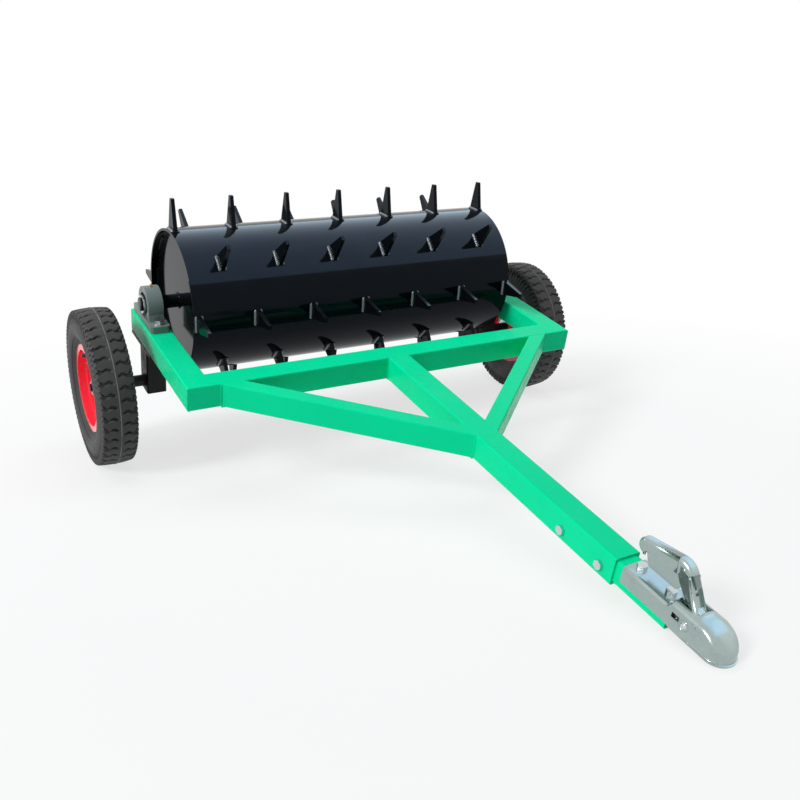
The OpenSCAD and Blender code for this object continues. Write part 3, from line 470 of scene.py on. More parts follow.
@dataclass(frozen=True)
class Paint:
    """Sprayed paint on steel or iron."""

    name: str
    colour: Colour
    gloss: float = 0.25
    coat: float = 0.3
    coat_gloss: float = 0.08
    tone: float = 0.08
    peel: float = 0.08
    peel_depth: float = 0.0006
    dust: float = 0.06
    # The next three set the colour, amount and width of a lighter band on edges: partly paint rubbed thin,
    # partly a painted highlight.
    wear_and_highlight: Colour = srgb(150, 150, 150)
    wear: float = 0.35
    wear_and_highlight_width: float = 0.0016
    shine: float = 0.5
    cast: Colour = (1.0, 1.0, 1.0, 1.0)

    def make(self) -> Material:
        """Builds the paint.

        Returns:
            The material.
        """
        material, graph, shader = new_material(self.name)
        skin = PaintSkin().place(graph, Colour=self.colour, Tone=self.tone, Gloss=self.gloss)
        edge = EdgeWearAndHighlight().place(graph, Width=self.wear_and_highlight_width, Amount=self.wear)
        # Edges take the lighter edge colour: partly wear, partly a painted highlight along them.
        rubbed = graph.mix(edge["Mask"], skin["Colour"], self.wear_and_highlight)
        film = DustFilm().place(graph, Colour=rubbed, Amount=self.dust, Roughness=skin["Roughness"])
        connect(graph, shader, film["Colour"], film["Roughness"], skin["Height"], self.peel, self.peel_depth)
        shader.inputs["Coat Weight"].default_value = self.coat
        shader.inputs["Coat Roughness"].default_value = self.coat_gloss
        shader.inputs["Specular IOR Level"].default_value = self.shine
        shader.inputs["Specular Tint"].default_value = self.cast
        return material


@dataclass(frozen=True)
class Plated:
    """Zinc plate, bare steel or brass."""

    name: str
    colour: Colour
    gloss: float = 0.3
    fields: float = 140.0
    dust: float = 0.05
    grain: float = 0.06
    grain_depth: float = 0.0004

    def make(self) -> Material:
        """Builds the metal.

        Returns:
            The material.
        """
        material, graph, shader = new_material(self.name)
        skin = ZincSkin().place(graph, Colour=self.colour, Field=self.fields, Gloss=self.gloss)
        film = DustFilm().place(graph, Colour=skin["Colour"], Amount=self.dust, Roughness=skin["Roughness"])
        connect(graph, shader, film["Colour"], film["Roughness"], skin["Height"],
                self.grain, self.grain_depth)
        shader.inputs["Metallic"].default_value = 1.0
        return material


@dataclass(frozen=True)
class Rubber:
    """Moulded rubber, with marks round a wheel where it has a centre."""

    name: str
    colour: Colour
    bloom: float = 0.25
    dust: float = 0.1
    centre: Optional[Point] = None
    mould_line: Colour = srgb(118, 122, 120)
    grain: float = 0.5
    grain_depth: float = 0.0012
    grain_share: float = 0.2

    def make(self) -> Material:
        """Builds the rubber.

        Returns:
            The material.
        """
        material, graph, shader = new_material(self.name)
        skin = RubberSkin().place(graph, Colour=self.colour, Bloom=self.bloom)
        film = DustFilm().place(graph, Colour=skin["Colour"], Amount=self.dust, Roughness=skin["Roughness"])
        colour, height = film["Colour"], skin["Height"]
        if self.centre is not None:
            marks = TyreMarks().place(graph, Centre=self.centre, Count=84.0, Inner=0.158, Outer=0.167,
                                      Slant=4.0)
            colour = graph.mix(marks["Rubbed"], colour, self.mould_line)
            height = graph.plus(graph.times(height, self.grain_share), marks["Height"])
        connect(graph, shader, colour, film["Roughness"], height, self.grain, self.grain_depth)
        return material


@dataclass(frozen=True)
class Parked:
    """Turns the level drawing of the machine, in millimetres, to where it stands, in metres."""

    pitch: float
    shift: float
    rise: float

    @classmethod
    def from_record(cls, record: Dict[str, Any], half_tube: float) -> "Parked":
        """Reads the pose from the mount on the cross member's top.

        Args:
            record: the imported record.
            half_tube: half the tube's width in millimetres.

        Returns:
            The pose.
        """
        mount = next(m for m in record["mounts"] if m["name"] == "crossmember_top")
        pitch = math.atan2(-mount["axis"][1], mount["axis"][2])
        shift = mount["pos_m"][1] - half_tube * MM * math.cos(pitch)
        rise = mount["pos_m"][2] - half_tube * MM * math.sin(pitch)
        return cls(pitch, shift, rise)

    def point(self, x: float, y: float, z: float) -> Vector:
        """Returns the place of a point of the level drawing."""
        cos, sin = math.cos(self.pitch), math.sin(self.pitch)
        return Vector((x * MM, (y * cos - z * sin) * MM + self.shift, (y * sin + z * cos) * MM + self.rise))


def put(name: str, data: Any) -> Thing:
    """Puts a new object in the scene.

    Args:
        name: the object's name.
        data: its mesh, lamp or camera.

    Returns:
        The object.
    """
    thing = bpy.data.objects.new(name, data)
    bpy.context.scene.collection.objects.link(thing)
    return thing


def wear(thing: Thing, material: Material) -> None:
    """Gives an object one material in place of what it had."""
    thing.data.materials.clear()
    thing.data.materials.append(material)


def copy_of(node: str, name: str, material: Material) -> Thing:
    """Copies the form of a CAD node into a new object.

    Args:
        node: the CAD node's name.
        name: the new object's name.
        material: its finish.

    Returns:
        The object.
    """
    thing = put(name, frame["nodes"][node].data.copy())
    wear(thing, material)
    return thing


def modify(thing: Thing, kind: str, **settings: Any) -> None:
    """Adds a modifier and applies it.

    Args:
        thing: the object to change.
        kind: the modifier's type.
        **settings: its settings.
    """
    step = thing.modifiers.new(kind.lower(), kind)
    for name, value in settings.items():
        setattr(step, name, value)
    graph = bpy.context.evaluated_depsgraph_get()
    mesh = bpy.data.meshes.new_from_object(thing.evaluated_get(graph))
    thing.modifiers.clear()
    thing.data = mesh


def weld_points(thing: Thing) -> None:
    """Joins points that coincide and turns all faces outwards.

    Args:
        thing: the object to mend.
    """
    form = bmesh.new()
    form.from_mesh(thing.data)
    bmesh.ops.remove_doubles(form, verts=form.verts, dist=JOIN)
    bmesh.ops.recalc_face_normals(form, faces=form.faces)
    form.to_mesh(thing.data)
    form.free()


def crease(thing: Thing, angle: float) -> None:
    """Shades an object smooth, with sharp edges past an angle in degrees."""
    thing.data.polygons.foreach_set("use_smooth", [True] * len(thing.data.polygons))
    thing.data.set_sharp_from_angle(angle=math.radians(angle))


class MeshMaker:
    """Collects the faces of one piece."""

    aim = Vector((0.31, 0.53, 0.79))
    aim_least = 0.1
    bead_steps = 3
    bead_low = 0.85
    bead_swing = 0.2
    bead_ends = (0.45, 0.8)

    def __init__(self) -> None:
        """Starts empty."""
        self.points: List[Vector] = []
        self.faces: List[Tuple[int, ...]] = []

    def tube(self, path: Sequence[Vector], radii: Sequence[float], sides: int = 8,
             closed: bool = False) -> None:
        """Adds a round tube along a path.

        Args:
            path: the tube's middle line.
            radii: the radius at each point of the path.
            sides: corners of the section.
            closed: whether the last ring joins the first.
        """
        base = len(self.points)
        count = len(path)
        for i, (centre, radius) in enumerate(zip(path, radii)):
            before = path[i - 1] if i or closed else path[i]
            after = path[(i + 1) % count] if i < count - 1 or closed else path[i]
            along = (after - before).normalized()
            side = along.cross(self.aim)
            if side.length < self.aim_least:
                side = along.cross(AXLE)
            side.normalize()
            top = side.cross(along).normalized()
            for j in range(sides):
                turn = 2 * math.pi * j / sides
                self.points.append(centre + radius * (math.cos(turn) * side + math.sin(turn) * top))
        for i in range(count if closed else count - 1):
            here, there = base + i * sides, base + (i + 1) % count * sides
            for j in range(sides):
                k = (j + 1) % sides
                self.faces.append((here + j, there + j, there + k, here + k))
        if not closed:
            self.faces.append(tuple(base + j for j in range(sides)))
            self.faces.append(tuple(base + (count - 1) * sides + j for j in reversed(range(sides))))

    def bead(self, path: Sequence[Vector], radius: float, ripple: float = 0.005) -> None:
        """Adds a weld bead: a tube with a ripple, drawn in at its ends.

        Args:
            path: corner points of the bead's middle line.
            radius: the bead's radius in metres.
            ripple: length of one ripple in metres.
        """
        line: List[Vector] = []
        for a, b in zip(path, path[1:]):
            steps = max(2, round((b - a).length / (ripple / self.bead_steps)))
            line.extend(a.lerp(b, k / steps) for k in range(steps))
        line.append(path[-1])
        travel = 0.0
        radii = []
        for i, here in enumerate(line):
            travel += (here - line[i - 1]).length if i else 0.0
            wave = abs(math.sin(math.pi * travel / ripple))
            radii.append(radius * (self.bead_low + self.bead_swing * wave))
        for k, share in enumerate(self.bead_ends):
            radii[k] *= share
            radii[-1 - k] *= share
        self.tube(line, radii)

    def ring(self, centre: Vector, radius: float, thick: float, count: int = 96) -> None:
        """Adds a closed ring of round section about a line along X through its centre.

        Args:
            centre: the ring's middle.
            radius: its radius in metres.
            thick: radius of its section in metres.
            count: steps round the ring.
        """
        across = AXLE.orthogonal().normalized()
        other = AXLE.cross(across)
        path = []
        for i in range(count):
            turn = 2 * math.pi * i / count
            path.append(centre + radius * (math.cos(turn) * across + math.sin(turn) * other))
        self.tube(path, [thick] * count, closed=True)

    def turned(self, start: Vector, way: int, steps: Sequence[Flat], sides: int) -> None:
        """Adds a turned form along X.

        Args:
            start: where its steps are counted from.
            way: -1 or 1, the sign of X that it points to.
            steps: distance along and radius of each step, in millimetres.
            sides: corners of the section.
        """
        path = [start + way * along * MM * AXLE for along, _ in steps]
        self.tube(path, [radius * MM for _, radius in steps], sides)

    def prism(self, near: Sequence[Vector], far: Sequence[Vector]) -> None:
        """Adds a closed prism between two outlines with the same number of points.

        Args:
            near: the first outline.
            far: the second outline.
        """
        base, count = len(self.points), len(near)
        self.points.extend([*near, *far])
        self.faces.append(tuple(range(base, base + count)))
        self.faces.append(tuple(range(base + 2 * count - 1, base + count - 1, -1)))
        for i in range(count):
            k = (i + 1) % count
            self.faces.append((base + k, base + i, base + count + i, base + count + k))

    def block(self, corners: Sequence[Vector]) -> None:
        """Adds a block from eight corners, listed by X within Y within Z."""
        low, high = ([part[0], part[1], part[3], part[2]] for part in (corners[:4], corners[4:]))
        self.prism(low, high)

    def put(self, name: str) -> Thing:
        """Makes an object of the faces.

        Args:
            name: the object's name.

        Returns:
            The object.
        """
        mesh = bpy.data.meshes.new(name)
        mesh.from_pydata([tuple(p) for p in self.points], [], self.faces)
        mesh.update()
        return put(name, mesh)

    def piece(self, name: str, material: Material, body: str, slot: Slot) -> Thing:
        """Makes the object, smooth, riding on its body.

        Args:
            name: the piece's name.
            material: its finish.
            body: the CAD body that carries it.
            slot: the record's slot of its finish; not used.

        Returns:
            The object.
        """
        thing = self.put(name)
        mesh = thing.data
        mesh.polygons.foreach_set("use_smooth", [True] * len(mesh.polygons))
        mesh.materials.append(material)
        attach(thing, body)
        LOG.info("%s: %d faces on %s", name, len(mesh.polygons), body)
        return thing


TYRE = Rubber("tyre rubber", srgb(28, 29, 31), bloom=0.14, dust=0.05)


@dataclass
class Wardrobe:
    """All finishes of the machine, by slot."""

    finishes: Dict[Slot, Any] = field(default_factory=lambda: {
        # Each paint's lighter edge colour is partly a painted highlight along edges; on the green frame it
        # mostly stands for bright lines of light on the tubes' edges.
        Slot.FRAME: Paint("emerald paint", srgb(0, 214, 152), gloss=0.28, coat=0.0, dust=0.01, wear=0.3,
                          wear_and_highlight=srgb(96, 226, 182), shine=0.05),
        Slot.FASTENER: Plated("zinc fasteners", srgb(206, 212, 216), gloss=0.24, fields=420.0),
        Slot.COUPLER: Plated("zinc pressings", srgb(164, 179, 176), gloss=0.22, fields=160.0),
        Slot.DARK_STEEL: Plated("oiled steel", srgb(92, 92, 94), gloss=0.4, fields=300.0),
        Slot.BLOCK: Paint("casting paint", srgb(104, 120, 117), gloss=0.42, coat=0.1, peel=0.35, tone=0.14),
        Slot.BEARING: Plated("ground steel", srgb(186, 187, 188), gloss=0.2, fields=500.0),
        Slot.NIPPLE: Plated("nipple brass", srgb(214, 176, 96), gloss=0.3, fields=500.0),
        Slot.LEG: Paint("satin black paint", srgb(13, 14, 14), gloss=0.42, coat=0.0, dust=0.03,
                        wear_and_highlight=srgb(54, 54, 56), shine=0.2),
        # The drum's blue specular tint is a painted reflection: it makes its gloss mirror a blue sky.
        Slot.DRUM: Paint("gloss black paint", srgb(7, 9, 12), gloss=0.09, coat=0.0, peel=0.03, dust=0.01,
                         wear=0.15, wear_and_highlight=srgb(66, 70, 76), shine=0.1, cast=srgb(206, 226, 255)),
        Slot.TYRE: TYRE,
        Slot.TUBE: Rubber("tube rubber", srgb(44, 44, 48), bloom=0.1),
        Slot.RIM: Paint("signal red paint", srgb(248, 54, 72), gloss=0.25, coat=0.5, dust=0.02,
                        wear_and_highlight=srgb(232, 96, 108), shine=0.4),
    })
    made: Dict[Slot, Material] = field(default_factory=dict)

    def take(self, slot: Slot) -> Material:
        """Finds the material of a slot, and makes it the first time.

        Args:
            slot: the record's slot.

        Returns:
            Its material.
        """
        if slot not in self.made:
            self.made[slot] = self.finishes[slot].make()
        return self.made[slot]

    def dress(self, record: Dict[str, Any], nodes: Dict[str, Thing]) -> None:
        """Gives every CAD node the finish of its slot.

        Args:
            record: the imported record.
            nodes: the CAD nodes by name.
        """
        for entry in record["subparts"]:
            wear(nodes[entry["node"]], self.take(Slot(entry["material_slot"])))
        LOG.info("%d nodes dressed", len(record["subparts"]))


@dataclass
class WeldedFrame:
    """The green tube frame with the legs under it. Sizes in millimetres, level drawing."""

    parked: Parked
    width: float = 1100.0
    tube: float = 60.0
    brace_x: float = 470.0
    brace_y: float = 397.0
    brace_w: float = 40.0
    leg_bead_z: float = -69.0
    leg_out: float = 1.0
    leg_w: float = 50.0
    leg_d: float = 60.0
    axle_y: float = 361.0
    axle_z: float = -158.0
    axle_ring_r: float = 15.5
    axle_ring_steps: int = 48
    bead_r: float = 2.6
    bead_inset: float = 4.0
    seam: float = -2.2

    def brace_corners(self) -> Flat:
        """Finds where a brace's inner side meets the tubes.

        Returns:
            X on the cross member and Y on the drawbar.
        """
        run = self.brace_x - self.tube / 2
        reach = math.hypot(run, self.brace_y)
        return self.brace_x - self.brace_w * reach / self.brace_y, -self.brace_y + self.brace_w * reach / run

    def build(self, wardrobe: Wardrobe) -> None:
        """Adds the weld beads of the frame and of the legs."""
        self.frame_welds(wardrobe.take(Slot.FRAME))
        self.leg_welds(wardrobe.take(Slot.LEG))

    def line(self, maker: MeshMaker, *corners: Point) -> None:
        """Adds one bead through points of the level drawing."""
        maker.bead([self.parked.point(*c) for c in corners], self.bead_r * MM)

    def frame_welds(self, material: Material) -> None:
        """Adds the beads in the upright and lower corners of the frame's joints, and ground seams on top.

        Args:
            material: finish of the beads.
        """
        maker = MeshMaker()
        inner_x, inner_y = self.brace_corners()
        half = self.tube / 2
        low = -self.tube
        gap = self.bead_inset
        for s in (side.value for side in Side):
            corner = s * (self.width / 2 - self.tube)
            uprights = ((s * self.brace_x, 0), (s * inner_x, 0), (s * half, -self.brace_y),
                        (s * half, inner_y), (s * half, 0), (corner, self.tube))
            for x, y in uprights:
                self.line(maker, (x, y, -gap), (x, y, low + gap))
            for z in (low, self.seam):
                self.line(maker, (s * self.brace_x, 0, z), (s * inner_x, 0, z))
                self.line(maker, (s * half, -self.brace_y, z), (s * half, inner_y, z))
                self.line(maker, (s * (self.width / 2 - gap), gap, z), (corner, self.tube, z))
        for z in (low, self.seam):
            self.line(maker, (-half, 0, z), (half, 0, z))
        maker.piece("frame_welds", material, "frame", Slot.FRAME)

    def leg_welds(self, material: Material) -> None:
        """Adds the beads round each leg's top and round each axle.

        Args:
            material: finish of the beads.
        """
        maker = MeshMaker()
        near, far = self.axle_y - self.leg_d / 2, self.axle_y + self.leg_d / 2
        for s in (side.value for side in Side):
            outer = s * (self.width / 2 - self.leg_out)
            inner = s * (self.width / 2 - self.leg_w)
            plan = ((outer, near), (inner, near), (inner, far), (outer, far))
            corners = [(x, y, self.leg_bead_z) for x, y in plan]
            for start, end in zip(corners, corners[1:]):
                self.line(maker, start, end)
            centre = self.parked.point(s * self.width / 2, self.axle_y, self.axle_z)
            maker.ring(centre, self.axle_ring_r * MM, self.bead_r * MM, self.axle_ring_steps)
        maker.piece("leg_welds", material, "frame", Slot.LEG)


@dataclass
class SpikedDrum:
    """The drum with its spikes. Sizes in millimetres about the drum's axis."""

    centre: Vector
    pitch: float
    radius: float = 185.0
    stitch_x: float = 450.0
    stitch_r: float = 178.0
    stitch_turn: float = 20.0
    stitch_bead: float = 3.6
    stitch_steps: int = 12
    stitches: int = 9
    shaft_ring_r: float = 18.5
    shaft_bead: float = 3.4
    shaft_steps: int = 64
    shaft_x: float = 549.4
    face_steps: Tuple[Flat, ...] = ((-0.4, 17.1), (0.3, 17.1), (0.6, 16.6))
    face_sides: int = 48
    face_crease: float = 40.0
    first_row: float = 86.0
    rows: int = 8
    long_row: int = 7
    spacing: float = 152.0
    spike_base: float = 42.0
    spike_t: float = 11.0
    foot_out: float = 1.6
    foot_bead: float = 4.2
    foot_steps: int = 4
    ripple: float = 6.0
    # The spike welds lie under the drum's gloss black paint; their grey is a painted highlight for the glints
    # of light on them.
    weld_highlight_paint: Paint = Paint("weld paint", srgb(92, 98, 104), gloss=0.14, coat=0.4, peel=0.6, dust=0.0,
                              wear=0.0, shine=0.6)

    def at(self, x: float, radius: float, angle: float) -> Vector:
        """Returns a point by its X, its distance from the axis and its angle from straight back."""
        return self.centre + MM * Vector((x, radius * math.cos(angle), radius * math.sin(angle)))

    def build(self, wardrobe: Wardrobe) -> None:
        """Adds the beads at the spikes' feet and in the drum's ends, and the shaft's faces.

        Args:
            wardrobe: the finishes.
        """
        # Grey paint for the spike welds: a painted highlight.
        paint = self.weld_highlight_paint.make()
        for row in range(self.rows):
            self.row_welds(row, paint)
        self.end_welds(wardrobe.take(Slot.DRUM))
        self.shaft_faces(wardrobe.take(Slot.DARK_STEEL))

    def row_welds(self, row: int, material: Material) -> None:
        """Adds two beads at the foot of every spike in one row.

        Args:
            row: the row's number, from 0.
            material: finish of the beads, whose grey is a painted highlight.
        """
        maker = MeshMaker()
        count = self.long_row - row % 2
        middle = math.radians(self.first_row + 360 / self.rows * row) + self.pitch
        half = math.asin(self.spike_base / 2 / self.radius)
        turns = [middle + half * k / self.foot_steps for k in range(-self.foot_steps, self.foot_steps + 1)]
        for i in range(count):
            for s in (-1, 1):
                x = (i - (count - 1) / 2) * self.spacing + s * (self.spike_t / 2 + self.foot_out)
                path = [self.at(x, self.radius + self.foot_out, turn) for turn in turns]
                maker.bead(path, self.foot_bead * MM, self.ripple * MM)
        maker.piece(f"spike_welds_{row + 1}", material, "drum", Slot.DRUM)

    def end_welds(self, material: Material) -> None:
        """Adds the stitches that hold the end plates and the bead round the shaft.

        Args:
            material: finish of the beads.
        """
        maker = MeshMaker()
        step = math.radians(self.stitch_turn) / self.stitch_steps
        for side in Side:
            x = side.value * self.stitch_x
            for i in range(self.stitches):
                start = 2 * math.pi * i / self.stitches
                path = [self.at(x, self.stitch_r, start + step * k) for k in range(self.stitch_steps + 1)]
                maker.bead(path, self.stitch_bead * MM, self.ripple * MM)
            maker.ring(self.at(x, 0.0, 0.0), self.shaft_ring_r * MM, self.shaft_bead * MM, self.shaft_steps)
        maker.piece("end_plate_welds", material, "drum", Slot.DRUM)

    def shaft_faces(self, material: Material) -> None:
        """Adds the bare turned face on each end of the shaft.

        Args:
            material: finish of the faces.
        """
        maker = MeshMaker()
        for side in Side:
            end = self.at(side.value * self.shaft_x, 0.0, 0.0)
            maker.turned(end, side.value, self.face_steps, self.face_sides)
        thing = maker.piece("shaft_faces", material, "drum", Slot.DARK_STEEL)
        weld_points(thing)
        crease(thing, self.face_crease)


@dataclass(frozen=True)
class TyreTread:
    """Section of the tyre and the wavy grooves that fork at its shoulders. Sizes in millimetres."""

    crown_r: float = 202.2
    crown_arc: float = 260.0
    crown_depth: float = 12.0
    half: float = 43.0
    stations: Tuple[float, ...] = (4.0, 6.0, 8.0, 10.5, 13.0, 16.0, 19.0, 22.0, 25.0, 28.0, 31.0, 34.0)
    shoulder: float = 5.0
    shoulder_steps: int = 4
    shoulder_low: float = 171.0
    shoulder_lean: float = 0.4
    wall_r: float = 152.0
    wall_u: float = 7.0
    wall_arc: float = 40.0
    wall_angles: Tuple[float, ...] = (20.0, 10.0, 0.0, -12.0, -24.0, -36.0, -46.0, -52.0)
    bead_top: float = 117.0
    bead_r: float = 102.2
    bead_half: float = 31.6
    bead_edge: float = 2.0
    casing: float = 8.0
    liner_r: float = 184.6
    liner_half: float = 24.0
    pitches: int = 42
    pitch_steps: int = 22
    depth: float = 5.5
    groove: float = 2.5
    groove_edge: float = 1.1
    groove_start: float = 6.0
    groove_rise: float = 3.0
    groove_end: float = 72.0
    groove_fall: float = 10.0
    groove_foot: float = 167.0
    fork: float = 27.0
    fork_run: float = 16.0
    fork_spread: float = 7.0
    wave: float = 2.6
    wave_len: float = 24.0
    rib_half: float = 1.0
    rib_foot: float = 1.2
    rib_h: float = 0.8

    def wall(self, angle: float) -> Flat:
        """Returns a point of the side wall, as across and radius, by its angle in degrees."""
        turn = math.radians(angle)
        return self.wall_u + self.wall_arc * math.cos(turn), self.wall_r + self.wall_arc * math.sin(turn)

    def section(self) -> List[Flat]:
        """Draws one half of the outside, from the middle of the tread to the bead.

        Returns:
            Its points as across and radius.
        """
        line = []
        for x in (0.0, self.rib_half, self.rib_foot, *self.stations, self.half - self.shoulder):
            drop = self.crown_arc - math.sqrt(self.crown_arc ** 2 - x ** 2)
            line.append((x, self.crown_r - drop + (self.rib_h if x <= self.rib_half else 0.0)))
        x, top = self.half - self.shoulder, line[-1][1] - self.shoulder
        steps = range(1, self.shoulder_steps + 1)
        for k in steps:
            turn = math.pi / 2 * k / self.shoulder_steps
            line.append((x + self.shoulder * math.sin(turn), top + self.shoulder * math.cos(turn)))
        fall = self.shoulder_low - top
        line += [(self.half + self.shoulder_lean * k, top + fall * k / self.shoulder_steps) for k in steps]
        line += [self.wall(angle) for angle in self.wall_angles]
        line += [(self.bead_half, self.bead_top), (self.bead_half, self.bead_r + self.bead_edge)]
        return line + [(self.bead_half - self.bead_edge, self.bead_r)]

    def loop(self) -> List[Tuple[float, float, float, int]]:
        """Closes the section with its inside and its other half.

        Returns:
            Each point's across, radius, distance from the tread's middle or -1 inside, and side.
        """
        half = self.section()
        travel = [0.0]
        for a, b in zip(half, half[1:]):
            travel.append(travel[-1] + math.dist(a, b))
        inner = [(x - self.casing, r) for x, r in half if r < self.wall_r and x > self.casing]
        rows = [(x, r, s, 1) for (x, r), s in zip(half, travel)]
        rows += [(x, max(r, self.bead_r), -1.0, 1) for x, r in reversed(inner)]
        rows += [(x, self.liner_r, -1.0, 1) for x in (self.liner_half, 0.0)]
        return rows + [(-x, r, s, -1) for x, r, s, _ in reversed(rows[1:-1])]

    def cut(self, along: float, round_by: float) -> float:
        """Returns how deep the tread is cut.

        Args:
            along: distance over the section from the tread's middle.
            round_by: distance round the tyre from the groove's own middle.

        Returns:
            The depth, from 0 to the full depth.
        """
        start = limit((along - self.groove_start) / self.groove_rise)
        end = limit((self.groove_end - along) / self.groove_fall)
        aside = self.fork_spread * ease((along - self.fork) / self.fork_run)
        off = abs(abs(round_by) - aside)
        wall = limit((self.groove + self.groove_edge - off) / self.groove_edge)
        return self.depth * start * end * wall

    def mesh(self, centre: Vector) -> MeshMaker:
        """Builds the whole tyre about an axle along X.

        Args:
            centre: the wheel's middle in metres.

        Returns:
            The maker that holds its faces.
        """
        loop = self.loop()
        count = len(loop)
        steps = self.pitches * self.pitch_steps
        pitch_len = 2 * math.pi * self.crown_r / self.pitches
        maker = MeshMaker()
        for i in range(steps):
            turn = 2 * math.pi * i / steps
            for x, r, s, way in loop:
                sink = 0.0
                if s >= 0.0 and r > self.groove_foot:
                    stagger = pitch_len / 2 if way > 0 else 0.0
                    shift = self.wave * math.sin(2 * math.pi * s / self.wave_len) + stagger
                    place = (i / self.pitch_steps * pitch_len + shift) % pitch_len - pitch_len / 2
                    sink = self.cut(s, place)
                tall = r > self.crown_r - self.crown_depth
                radius = r - sink if tall else r
                across = x if tall else x - way * sink
                spot = Vector((across, radius * math.sin(turn), radius * math.cos(turn)))
                maker.points.append(centre + MM * spot)
            here, there = i * count, (i + 1) % steps * count
            for j in range(count):
                k = (j + 1) % count
                maker.faces.append((here + j, here + k, there + k, there + j))
        return maker


@dataclass
class RoadWheel:
    """One wheel: its treaded tyre, rings on the tyre's walls and the valve's cap. Sizes in millimetres."""

    side: Side
    centre: Vector
    pitch: float
    tread: TyreTread = TyreTread()
    ring_angles: Flat = (38.0, -28.0)
    ring_t: float = 0.9
    tread_crease: float = 60.0
    stem_r: float = 93.6
    cap_steps: Tuple[Flat, ...] = ((31.0, 4.4), (31.5, 5.0), (40.5, 5.0), (42.0, 4.2), (42.6, 2.4))
    cap_sides: int = 16

    @property
    def body(self) -> str:
        """Name of the wheel's body."""
        return f"{self.side.name.lower()}_wheel"

    def build(self, wardrobe: Wardrobe) -> None:
        """Adds the pieces of the wheel, with rubber that follows its own axle.

        Args:
            wardrobe: the finishes.
        """
        rubber = replace(TYRE, name=f"{self.body} rubber", centre=tuple(self.centre)).make()
        thing = self.tread.mesh(self.centre).piece(f"{self.body}_tread", rubber, self.body, Slot.TYRE)
        crease(thing, self.tread_crease)
        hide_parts(f"{self.side.name.lower()}_tyre")
        maker = MeshMaker()
        for way in (-1, 1):
            for across, radius in map(self.tread.wall, self.ring_angles):
                maker.ring(self.centre + way * across * MM * AXLE, radius * MM, self.ring_t * MM)
        maker.piece(f"{self.body}_wall_rings", rubber, self.body, Slot.TYRE)
        self.valve_cap(wardrobe.take(Slot.TUBE))

    def valve_cap(self, material: Material) -> None:
        """Adds the cap on the end of the valve's stem.

        Args:
            material: finish of the cap.
        """
        maker = MeshMaker()
        stem = self.centre + MM * self.stem_r * Vector((0, -math.sin(self.pitch), math.cos(self.pitch)))
        maker.turned(stem, self.side.value, self.cap_steps, self.cap_sides)
        maker.piece(f"{self.body}_valve_cap", material, self.body, Slot.TUBE)


@dataclass(frozen=True)
class HandleLines:
    """Side view of the lifting handle: its grip and its shank. Millimetres, level drawing."""

    rear: Flat = (-893.0, 52.0)
    knee: Flat = (-984.0, 70.0)
    foot: Flat = (-1024.0, 8.6)
    grip_low: float = 7.0
    shank_low: float = -14.0
    grip_start: float = 4.0
    grip_past: float = 60.0
    bend: Point = (56.0, 68.0, 38.0)
    bend_steps: int = 8
    shank_end: float = 20.0
    shank_past: Flat = (12.0, -40.0)

    def beside(self, start: Flat, along: float, out: float) -> Vector:
        """Returns a point beside the line from start to the knee, out being to its left."""
        run = (Vector(self.knee) - Vector(start)).normalized()
        return Vector(start) + along * run + out * Vector((-run.y, run.x))

    def cut(self) -> List[Vector]:
        """Draws the outline that is cut from both flanges, under the grip and behind the shank.

        Returns:
            Its points as Y and Z.
        """
        first = self.beside(self.rear, self.bend[0], self.grip_low)
        middle = self.beside(self.rear, self.bend[1], self.grip_low)
        last = self.beside(self.foot, self.bend[2], self.shank_low)
        line = [self.beside(self.rear, self.grip_start, out) for out in (self.grip_past, self.grip_low)]
        for k in range(self.bend_steps + 1):
            line.append(curve(k / self.bend_steps, first, middle, last))
        line.append(self.beside(self.foot, self.shank_end, self.shank_low))
        return line + [self.beside(self.foot, *self.shank_past)]


